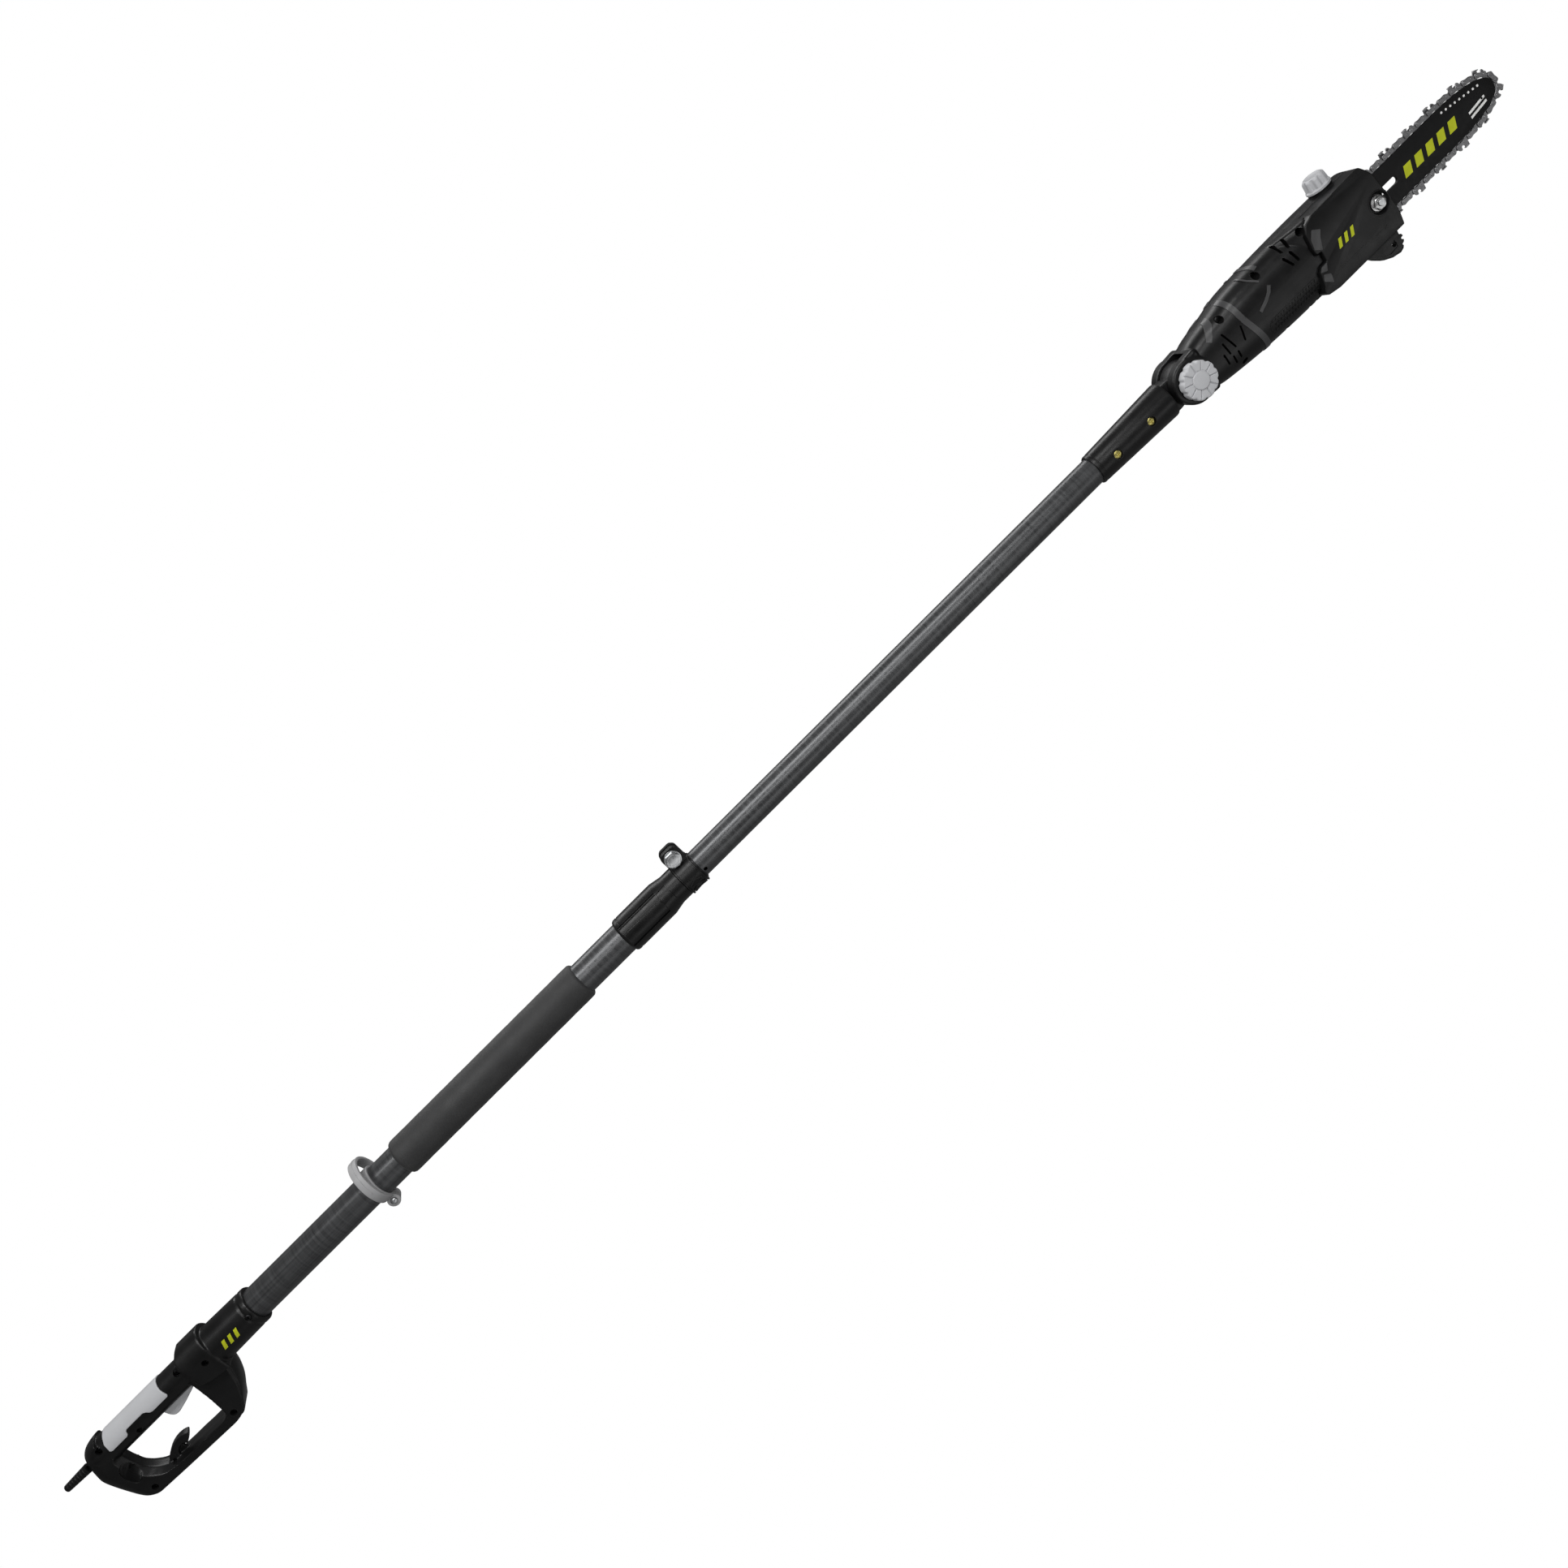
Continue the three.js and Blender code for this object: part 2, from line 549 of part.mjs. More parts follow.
// ---------------------------------------------------------------- saw head: housing
const pocketGap = 0.5; // between the cover's edge and the housing round it
const aheadOfPocket = [1000, 1060];
const barFace = join(
  plate(offset(coverOutline, pocketGap), -80, pocketFloor),
  block(aheadOfPocket, [-80, pocketFloor], [-80, 80]),
);
const behindBarFace = join(
  plate(offset(coverOutline, pocketGap + wall), -80, pocketFloor + wall),
  block(aheadOfPocket, [-80, pocketFloor + wall], [-80, 80]),
);
const rearBearing = { at: [motor.rear, motor.rear + 8], r: 11 };
const frontBearing = { at: [motor.front - 8, motor.front], r: 14 };
const outputBearings = { right: [-13, -5], left: [21, 28], r: 13 };

// Bulkheads across the housing that hold the bearings and the stator: [x0, x1, bore].
const bulkheads = [
  [rearBearing.at[0] - 3, rearBearing.at[1], rearBearing.r + GAP],
  [820, 826, motor.stator[2] + GAP],
  [852, 858, motor.stator[2] + GAP],
  [frontBearing.at[0] - 1.5, frontBearing.at[1] + 1.5, frontBearing.r + GAP],
];
const housingScrews = [[769, 33, -20], [835.5, 40.5, -16], [906, 43.5, -14]];
const tankRoom = { main: [[978, 1010], [-14, 27], [6.5, 43]], neck: [[961, 983], [-14, 15], [29, 43]] };

// Vents through both sides of the housing: [x, z] of each one's lower rear corner, width and height.
const inletVents = { at: [[751, -26], [758, -20], [765, -14], [772, -8]], width: 3.5, height: 20 };
const outletVents = { at: [[875, 19.5], [885, 19.5]], width: 3.6, height: 14 };

function coverShoulder() {
  const { z, half, stations } = shoulder;
  const bend = (value) => Math.sign(value) * Math.abs(value) ** 0.45;
  const sections = stations.map(([x, reach]) =>
    circle(1, [0, 0], 20).map(([u, v]) => [x, (reach / 2) * (bend(u) - 1), z + half * bend(v)]),
  );
  return loft(sections);
}

function housingOutside() {
  const body = loft(housingStations.map((station) => ovalSection(station)));
  const cheeks = rodY(-pivot.cheekOut, pivot.cheekOut, pivot.cheekR, [pivot.x, 0], 16);
  const root = plate([[pivot.x, 29], [724, 31], [724, -31], [pivot.x, -29]], -29, 29, 4);
  return join(body, cheeks, root, coverShoulder());
}

function housingHollow() {
  const inside = housingStations.filter(([x]) => x > 740 && x < 1020);
  const ends = [[745, 31.5, 38, -37], ...inside];
  return cut(loft(ends.map((station) => ovalSection(station, wall))), behindBarFace);
}

const ventCuts = ({ at, width, height }) =>
  at.flatMap(([x, z]) => [[-60, -20], [20, 60]].map((y) => block([x, x + width], y, [z, z + height])));

// Seats inside the housing for the output bearings, the bar and its stud.
function housingBosses() {
  const { right, left, r } = outputBearings;
  return [
    rodY(pocketFloor + 1, right[1], r + wall, [drive.x, 0], 16),
    rodY(left[0], 33, r + wall, [drive.x, 0], 16),
    block([978, 1016], [bar.in + GAP, pocketFloor + 1], [-17, 17]),
    block([992, 1016], [pocketFloor + 1, -4], [-9, 6.5]),
  ];
}

function housingSolid() {
  const outside = housingOutside();
  const core = loft(housingStations.map((station) => ovalSection(station, wall / 2)));
  const bulkheadWalls = bulkheads.map(([x0, x1, bore]) =>
    cut(core.intersect(block([x0, x1], [-80, 80], [-80, 80])), barFace, rodX(x0 - 1, x1 + 1, bore, 16)),
  );
  const screwPosts = housingScrews.map(([x, z]) =>
    cut(rodY(-24, 14, 6.4, [x, z]).intersect(outside), barFace),
  );
  const screwRooms = housingScrews.map(([x, z, seat]) =>
    join(
      rodY(-60, seat, screw.headR + 1, [x, z]),
      rodY(seat - 1, screw.reach + 1, screw.shankR + GAP, [x, z]),
    ),
  );
  const { cheekIn, boltR } = pivot;
  const tongueRoom = join(
    rodY(-cheekIn, cheekIn, 33, [pivot.x, 0], 24),
    block([pivot.x - 60, pivot.x], [-cheekIn, cheekIn], [-60, 60]),
  );
  const { right, left, r } = outputBearings;
  return cut(
    join(cut(outside, housingHollow(), barFace), ...bulkheadWalls, ...housingBosses(), ...screwPosts),
    tongueRoom,
    rodY(-60, 60, boltR + GAP, [pivot.x, 0], 16),
    rodY(right[0] - GAP, right[1] + 1, r + GAP, [drive.x, 0], 16),
    rodY(left[0] - 1, left[1] + GAP, r + GAP, [drive.x, 0], 16),
    rodY(-40, 0, drive.shaftR + 1, [drive.x, 0], 16),
    rodY(-40, 0, stud.r + GAP, [stud.x, 0]),
    block([stud.x - 7.5, stud.x + 7.5], [-11, -3], [-6.8, 6.8]),
    rodX(motor.rear - 20, motor.rear + 2, 6, SMALL),
    rodX(frontBearing.at[0] - GAP, frontBearing.at[1] + 2, frontBearing.r + GAP, 16),
    block(...tankRoom.main),
    block(...tankRoom.neck),
    ...screwRooms,
    ...ventCuts(inletVents),
    ...ventCuts(outletVents),
  );
}

// A round solid about the filler neck's axis, from [height, radius] pairs above the cap's seat.
function aboutNeck(profile, facets = 24) {
  const points = profile.map(([height, r]) => new THREE.Vector2(r, height));
  const geometry = new THREE.LatheGeometry(points, facets).rotateX(Math.PI / 2);
  return solid(geometry.translate(cap.x, 0, cap.z));
}
const neckR = 11;
const neckHole = aboutNeck([[-14, 0], [-14, neckR + GAP], [12, neckR + GAP], [12, 0]]);
const tensionScrewAt = [-9, -21];
const tensionHeadR = 3.2;
const frontHole = rodX(990, 1060, tensionHeadR + GAP, SMALL, tensionScrewAt);
const pinSlot = block([977, 994], [-30, -2], [-28, -14]);
const mouldedRim = aboutNeck([[-6, 0], [-6, 14.5], [0, 14.5], [0, 0]]);
const housing = cut(join(housingSolid(), mouldedRim), neckHole, frontHole, pinSlot);
addPiece(sawHead, "motor_housing_right", housing.intersect(rightSide), materials.black);
addPiece(sawHead, "motor_housing_left", housing.intersect(leftSide), materials.black);
housingScrews.forEach(([x, z, seat], i) => {
  addPiece(sawHead, `housing_screw_${i + 1}`, crossScrew(seat, screw.reach, [x, z]), materials.blackSteel);
});

// ---------------------------------------------------------------- saw head: tilt clamp
const tiltBolt = join(
  rodY(-42, pivot.cheekOut + 1, pivot.boltR, [pivot.x, 0], 16),
  rodY(pivot.cheekOut + GAP, pivot.cheekOut + 6, 9, [pivot.x, 0], 6),
);
addPiece(sawHead, "tilt_bolt", tiltBolt, materials.zinc);

function tiltKnob() {
  const outline = Array.from({ length: knob.lobes * 4 }, (_, i) => {
    const turn = (2 * Math.PI * i) / (knob.lobes * 4);
    const r = knob.r - 1.4 * Math.abs(Math.cos((knob.lobes * turn) / 2)) ** 6;
    return [pivot.x + r * Math.cos(turn), r * Math.sin(turn)];
  });
  const bore = rodY(-43, 0, pivot.boltR + RUNNING, [pivot.x, 0], 16);
  return cut(plate(outline, knob.face, knob.back, 2.5), bore);
}
addPiece(sawHead, "tilt_knob", tiltKnob(), materials.grey);

// ---------------------------------------------------------------- saw head: motor
const [statorRear, statorFront, statorR, statorBore] = motor.stator;
const statorRing = join(
  ringX(statorRear, statorFront, statorR, statorBore, 16),
  ringX(statorRear - 8, statorFront + 5, 28, 22, 16),
);
addPiece(sawHead, "stator", statorRing, materials.copper);

const [coreRear, coreFront, coreR] = motor.core;
const armature = turned(
  [
    [motor.rear - 2, motor.shaftR], [789, motor.shaftR], [789, 11], [803, 11], [803, 8], [coreRear - 8, 8],
    [coreRear - 6, 14],
    [coreRear, 15], [coreRear, coreR], [coreFront, coreR], [coreFront, 15], [coreFront + 6, 12],
    [coreFront + 7, motor.shaftR], [926, motor.shaftR],
  ],
  16,
);
addPiece(sawHead, "armature", armature, materials.steel);

function coolingFan() {
  const blades = Array.from({ length: 9 }, (_, i) => {
    const geometry = new THREE.BoxGeometry(7, 1.6, 20).translate(876.5, 0, 18);
    return solid(geometry.rotateX((2 * Math.PI * i) / 9));
  });
  const disc = turned([[872, 30], [873.5, 30]], 36);
  return cut(join(disc, rodX(872, 880, 9, 16), ...blades), rodX(860, 900, motor.shaftR + GAP, 16));
}
addPiece(sawHead, "cooling_fan", coolingFan(), materials.inner);
[1, -1].forEach((side, i) => {
  const z = side > 0 ? [11 + GAP, 24] : [-24, -11 - GAP];
  addPiece(sawHead, `carbon_brush_${i + 1}`, block([792, 800], [-3, 3], z), materials.inner);
});
Object.entries({ rear: rearBearing, front: frontBearing }).forEach(([end, { at, r }]) => {
  addPiece(sawHead, `${end}_bearing`, ringX(...at, r, motor.shaftR + RUNNING, 16), materials.steel);
});

// ---------------------------------------------------------------- saw head: bevel drive
// A bevel gear about +Y with its apex at the origin; teeth lie along cone lines.
function bevelGear(teeth, mateTeeth, bore, hubLength) {
  const cone = Math.atan(teeth / mateTeeth);
  const [near, far] = drive.toothLength;
  const addendum = 0.062;
  const dedendum = 0.085;
  const along = (distance, angle) => [distance * Math.sin(angle), distance * Math.cos(angle)];
  const root = cone - dedendum;
  const blank = [along(near, root), along(far, root)];
  const facets = Math.max(teeth, SMALL);
  const back = blank[1][1] + hubLength;
  const inner = Math.min(blank[0][1], blank[1][1]);
  const profile = [[0, inner], blank[0], blank[1], [blank[1][0], back], [0, back]];
  const points = profile.map(([r, y]) => new THREE.Vector2(r, y));
  const body = solid(new THREE.LatheGeometry(points, facets));
  const pitch = (2 * Math.PI) / teeth;
  const cutters = Array.from({ length: teeth }, (_, i) => {
    const corners = [];
    [near, far].forEach((distance) => {
      [[root - 0.03, 0.27], [cone + addendum, 0.15]].forEach(([angle, half]) => {
        const [r, y] = along(distance, angle);
        [-half, half].forEach((side) => {
          const turn = (i + side) * pitch;
          corners.push(new THREE.Vector3(r * Math.cos(turn), y, r * Math.sin(turn)));
        });
      });
    });
    return solid(new ConvexGeometry(corners));
  });
  const bored = rodY(-5, 60, bore, [0, 0], 16);
  return cut(join(body, ...cutters), bored);
}

const drivenGear = bevelGear(drive.gearTeeth, drive.pinionTeeth, drive.shaftR + GAP, 3);
const pinionGear = bevelGear(drive.pinionTeeth, drive.gearTeeth, motor.shaftR + GAP, 2);
const driven = drivenGear.rotate([0, 180 / drive.gearTeeth, 0]).translate([drive.x, 0, 0]);
const pinion = pinionGear.rotate([0, 0, 90]).translate([drive.x, 0, 0]);
addPiece(sawHead, "pinion", pinion, materials.steel);
addPiece(sawHead, "driven_gear", driven, materials.steel);
addPiece(sawHead, "output_shaft", rodY(-34, 27, drive.shaftR, [drive.x, 0], 16), materials.steel);
Object.entries({ right: outputBearings.right, left: outputBearings.left }).forEach(([side, [y0, y1]]) => {
  const piece = ringY(y0, y1, outputBearings.r, drive.shaftR + RUNNING, [drive.x, 0]);
  addPiece(sawHead, `output_bearing_${side}`, piece, materials.steel);
});

function sprocket() {
  const teeth = 6;
  const outline = Array.from({ length: teeth * 4 }, (_, i) => {
    const turn = (2 * Math.PI * i) / (teeth * 4);
    const r = i % 4 < 2 ? 17.4 : 13;
    return [drive.x + r * Math.cos(turn), r * Math.sin(turn)];
  });
  const disc = rodY(-26, -24.5, 16, [drive.x, 0], 16);
  return cut(
    join(plate(outline, -24.6, -17), disc, rodY(-31, -16.6, 9.5, [drive.x, 0], 16)),
    rodY(-60, 0, drive.shaftR + GAP, [drive.x, 0], 16),
  );
}
addPiece(sawHead, "drive_sprocket", sprocket(), materials.steel);

// ---------------------------------------------------------------- saw head: bar, chain and cover
// Half of the bar's edge from tail to nose at a distance outside it.
function barEdge(grow, steps = 14) {
  const { tail, root, taper, nose, half } = bar;
  const roundness = 2.5;
  const points = [[tail - grow, 0], [tail - grow, half * 0.6 + grow], [root, half + grow]];
  for (let i = 0; i <= steps; i++) {
    const along = Math.sin((Math.PI / 2) * (i / steps));
    const height = (1 - along ** roundness) ** (1 / roundness);
    points.push([taper + (nose + grow - taper) * along, (half + grow) * height]);
  }
  return points;
}
const mirrored = (points) => [...points, ...points.slice(1, -1).reverse().map(([x, z]) => [x, -z])];

function barPlate() {
  const slot = join(
    block([barSlot.rear, barSlot.front - barSlot.half], [-30, -10], [-barSlot.half, barSlot.half]),
    rodY(-30, -10, barSlot.half, [barSlot.front - barSlot.half, 0]),
  );
  const pinHole = rodY(-30, -10, 2.5 + GAP, [987, -21]);
  return cut(plate(mirrored(barEdge(0)), bar.out, bar.in), slot, pinHole);
}
addPiece(sawHead, "guide_bar", barPlate(), materials.blackSteel);

// Closed loop of the chain's rivet line, moved outwards by grow.
function chainLine(grow) {
  const r = chain.wrapR + grow;
  const wrap = Array.from({ length: 9 }, (_, i) => {
    const turn = Math.PI - (i / 8) * (Math.PI / 2 - 0.1);
    return [drive.x + r * Math.cos(turn), r * Math.sin(turn)];
  });
  const edge = barEdge(chain.line + grow).slice(2);
  return mirrored([...wrap, ...edge]);
}

function chainLoop() {
  const band = plate(chainLine(chain.above), chain.out, chain.in, 0, chainLine(-chain.below).reverse());
  const cutters = [];
  const first = bar.root + 44;
  for (let x = first; x < bar.taper + 50; x += 4 * chain.pitch) {
    [1, -1].forEach((side) => {
      const z = [28 * side, (bar.half + chain.line + chain.cutter) * side].sort((a, b) => a - b);
      cutters.push(block([x, x + 12], [chain.out + 0.4, chain.in - 0.4], z));
    });
  }
  return join(band, ...cutters);
}
addPiece(sawHead, "saw_chain", chainLoop(), materials.steel);

addPiece(
  sawHead,
  "bar_stud",
  join(rodY(-47, -4, stud.r, [stud.x, 0]), block([stud.x - 7, stud.x + 7], [-10.7, -6], [-6.5, 6.5])),
  materials.zinc,
);

const nutSeat = -36.5;
function sprocketCover() {
  const outside = plate(coverOutline, cover.out, cover.in);
  const inside = plate(offset(coverOutline, -cover.wall), cover.out + cover.wall, cover.in + 1);
  const mouth = block([1000, 1060], [cover.out + cover.wall, cover.in + 1], [-38.5, 38.5]);
  const seat = block([990, 1015], [cover.out + 1, bar.out - GAP], [-15, 15]);
  const dish = rodY(-60, nutSeat, 10.8, [stud.x, 0], 16);
  return cut(join(cut(outside, inside, mouth), seat), dish, rodY(-60, 0, stud.r + GAP, [stud.x, 0]));
}
addPiece(sawHead, "sprocket_cover", sprocketCover(), materials.black);

const nutHex = 15 / 2;
const barNut = cut(
  join(
    rodY(nutSeat - 2.5, nutSeat - GAP, 9.5, [stud.x, 0], 16),
    rodY(nutSeat - 8.5, nutSeat - 2, nutHex, [stud.x, 0], 6),
  ),
  rodY(-60, 0, stud.r + GAP, [stud.x, 0]),
);
addPiece(sawHead, "bar_nut", barNut, materials.zinc);

const tensionPin = join(
  block([983, 991], [-15, -3], [-27, -15]),
  rodY(-22, -14, 2.5, [987, -21], SMALL),
);
const screwThroughPin = rodX(900, 1100, 2.2 + GAP, SMALL, tensionScrewAt);
addPiece(sawHead, "tension_pin", cut(tensionPin, screwThroughPin), materials.steel);
const tensionScrew = join(
  rodX(978, 1016, 2.2, SMALL, tensionScrewAt),
  rodX(1012, 1018, tensionHeadR, SMALL, tensionScrewAt),
);
addPiece(sawHead, "tension_screw", tensionScrew, materials.zinc);

const hookOutline = [
  [959, -43], [965, -52], [973, -59], [985, -66], [998, -68.5], [1004, -66], [1005, -62], [1008, -61],
  [1006.5, -57], [1010, -55.5], [1007.5, -51], [1009, -43],
];
addPiece(sawHead, "branch_hook", plate(hookOutline, -36, -26, 1), materials.black);

// ---------------------------------------------------------------- saw head: chain oil
function oilTank() {
  const body = join(block([980, 1008], [-10, 25], [8.5, 41]), block([963, 981], [-10, 13], [31, 41]));
  const room = join(block([982, 1006], [-8, 23], [10.5, 39]), block([965, 983], [-8, 11], [33, 39]));
  const neck = aboutNeck([[-20, 0], [-20, neckR], [4, neckR], [4, 0]]);
  const throat = aboutNeck([[-18, 0], [-18, neckR - 2], [8, neckR - 2], [8, 0]]);
  return cut(join(body, neck), room, throat);
}
addPiece(sawHead, "oil_tank", oilTank(), materials.inner);

function oilCap() {
  const { r, height, ribs, x, z } = cap;
  const outline = Array.from({ length: ribs * 3 }, (_, i) => {
    const turn = (2 * Math.PI * i) / (ribs * 3);
    const reach = i % 3 === 0 ? r - 1.5 : r;
    return new THREE.Vector2(reach * Math.cos(turn), reach * Math.sin(turn));
  });
  const edge = 1.5;
  const geometry = new THREE.ExtrudeGeometry(new THREE.Shape(outline), {
    depth: height - 2 * edge,
    bevelThickness: edge,
    bevelSize: edge,
    bevelOffset: -edge,
    bevelSegments: 1,
  });
  const body = solid(geometry.translate(x, 0, z + edge + 0.6));
  return cut(body, aboutNeck([[0, 0], [0, neckR + 0.5], [8, neckR + 0.5], [8, 0]]));
}
addPiece(sawHead, "oil_cap", oilCap(), materials.grey);

const pump = join(block([958, 974], [-8, 8], [-38, -27]), rodX(972, 982, 2, SMALL, [0, -32]));
addPiece(sawHead, "oil_pump", pump, materials.inner);

export default poleSaw;
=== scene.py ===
"""Looks of the telescoping pole saw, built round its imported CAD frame.

Lengths in the tables and shape helpers are in millimetres, in the frame of the CAD part:
+X along the pole to the saw head, +Z towards the oil cap, the sprocket cover on the -Y side.
"""

from math import atan2, cos, hypot, pi, radians, sin, sqrt

import bmesh
import bpy
from mathutils import Matrix, Vector


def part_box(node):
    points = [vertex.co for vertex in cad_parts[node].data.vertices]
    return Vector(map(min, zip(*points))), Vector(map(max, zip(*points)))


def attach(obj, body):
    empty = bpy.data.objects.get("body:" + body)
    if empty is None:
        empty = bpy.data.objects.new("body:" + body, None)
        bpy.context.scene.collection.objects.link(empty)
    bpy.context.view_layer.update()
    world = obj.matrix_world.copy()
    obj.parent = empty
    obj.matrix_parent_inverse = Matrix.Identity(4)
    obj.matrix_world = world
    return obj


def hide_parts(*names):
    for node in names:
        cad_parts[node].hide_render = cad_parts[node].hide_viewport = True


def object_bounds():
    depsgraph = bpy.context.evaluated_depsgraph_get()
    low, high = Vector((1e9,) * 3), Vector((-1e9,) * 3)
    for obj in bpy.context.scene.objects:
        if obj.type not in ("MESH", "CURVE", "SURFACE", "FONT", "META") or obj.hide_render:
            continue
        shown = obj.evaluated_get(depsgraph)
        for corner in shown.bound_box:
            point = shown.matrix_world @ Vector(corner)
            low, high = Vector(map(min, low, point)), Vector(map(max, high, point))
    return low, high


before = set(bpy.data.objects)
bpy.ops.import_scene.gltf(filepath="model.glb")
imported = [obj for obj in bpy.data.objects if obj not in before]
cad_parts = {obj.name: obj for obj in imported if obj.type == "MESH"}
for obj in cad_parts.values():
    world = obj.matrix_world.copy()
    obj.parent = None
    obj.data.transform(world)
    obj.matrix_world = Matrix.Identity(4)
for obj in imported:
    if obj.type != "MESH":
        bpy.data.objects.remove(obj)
cad_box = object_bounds()

MM = 0.001
THROUGH = (-60, 60)  # past both sides of the tool
EVERYWHERE = (-2000, 2000)
SMOOTH_ANGLE = radians(32)


def cad(node):
    """Lowest and highest corner of a CAD node in millimetres."""
    low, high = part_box(node)
    return low / MM, high / MM


# ------------------------------------------------------------------ camera, floor and lights
POLE_ANGLE = radians(44.84)  # slope of the pole in the picture
ELEVATION = radians(20)  # how far the camera stands above the tool's right side
CAMERA_DISTANCE = 1.8
LENS = 33.5
VIEW_CENTRE = -0.0051  # the picture's middle, measured across the pole
ROOM_LIGHT = 0.12  # the pale room as the tool sees it; the camera sees it white
FLOOR_DROP = 0.55  # the tool is shown held above the floor


def studio():
    towards_camera = Vector((0, -cos(ELEVATION), sin(ELEVATION)))
    across = Vector((0, sin(ELEVATION), cos(ELEVATION)))
    along = Vector((1, 0, 0))
    right = along * cos(POLE_ANGLE) - across * sin(POLE_ANGLE)
    up = along * sin(POLE_ANGLE) + across * cos(POLE_ANGLE)
    place = across * VIEW_CENTRE + towards_camera * CAMERA_DISTANCE
    camera = bpy.data.objects.new("camera", bpy.data.cameras.new("camera"))
    camera.data.lens = LENS
    camera.data.clip_end = 50
    rotation = Matrix((right, up, towards_camera)).transposed().to_4x4()
    camera.matrix_world = Matrix.Translation(place) @ rotation
    bpy.context.scene.collection.objects.link(camera)
    bpy.context.scene.camera = camera

    bpy.context.scene.view_settings.view_transform = "Standard"
    world = bpy.data.worlds.new("studio")
    bpy.context.scene.world = world
    world.use_nodes = True
    tree = world.node_tree
    seen = tree.nodes.new("ShaderNodeLightPath").outputs["Is Camera Ray"]
    strength = tree.nodes.new("ShaderNodeMapRange")
    strength.inputs["To Min"].default_value = ROOM_LIGHT
    strength.inputs["To Max"].default_value = 1.0
    tree.links.new(seen, strength.inputs["Value"])
    tree.links.new(strength.outputs["Result"], tree.nodes["Background"].inputs["Strength"])
    tree.nodes["Background"].inputs["Color"].default_value = (1, 1, 1, 1)

    lamps = {
        # name: (place, aim, size across, size along, watts)
        "key_softbox": ((-0.2, -1.3, 2.2), (0, 0, 0), 0.5, 3.2, 52),
        "front_softbox": ((0.3, -2.7, 1.5), (0, 0, 0), 0.6, 3.2, 30),
        "rim_softbox": ((0.2, 1.5, 1.6), (0, 0, 0), 0.6, 3.2, 30),
        "low_softbox": ((0.2, -0.9, -0.45), (0, 0, 0), 0.25, 3.2, 3),
    }
    for name, (place, aim, across_size, along_size, watts) in lamps.items():
        data = bpy.data.lights.new(name, "AREA")
        data.shape = "RECTANGLE"
        data.size = along_size
        data.size_y = across_size
        data.energy = watts
        lamp = bpy.data.objects.new(name, data)
        back = (Vector(place) - Vector(aim)).normalized()
        lamp_up = back.cross(along).normalized()
        side = lamp_up.cross(back)
        turn = Matrix((side, lamp_up, back)).transposed().to_4x4()
        lamp.matrix_world = Matrix.Translation(Vector(place)) @ turn
        bpy.context.scene.collection.objects.link(lamp)


def floor():
    half = 40
    z = cad_box[0][2] - FLOOR_DROP
    corners = [(-half, -half, z), (half, -half, z), (half, half, z), (-half, half, z)]
    mesh = bpy.data.meshes.new("floor")
    mesh.from_pydata(corners, [], [(0, 1, 2, 3)])
    sheet = bpy.data.objects.new("floor", mesh)
    bpy.context.scene.collection.objects.link(sheet)
    paper = bpy.data.materials.new("floor_paper")
    paper.use_nodes = True
    tree = paper.node_tree
    shader = tree.nodes["Principled BSDF"]
    shader.inputs["Base Color"].default_value = (0.2, 0.2, 0.2, 1)
    shader.inputs["Roughness"].default_value = 0.9
    white = tree.nodes.new("ShaderNodeEmission")
    mix = tree.nodes.new("ShaderNodeMixShader")
    tree.links.new(tree.nodes.new("ShaderNodeLightPath").outputs["Is Camera Ray"], mix.inputs["Fac"])
    tree.links.new(shader.outputs["BSDF"], mix.inputs[1])
    tree.links.new(white.outputs["Emission"], mix.inputs[2])
    tree.links.new(mix.outputs["Shader"], tree.nodes["Material Output"].inputs["Surface"])
    sheet.data.materials.append(paper)


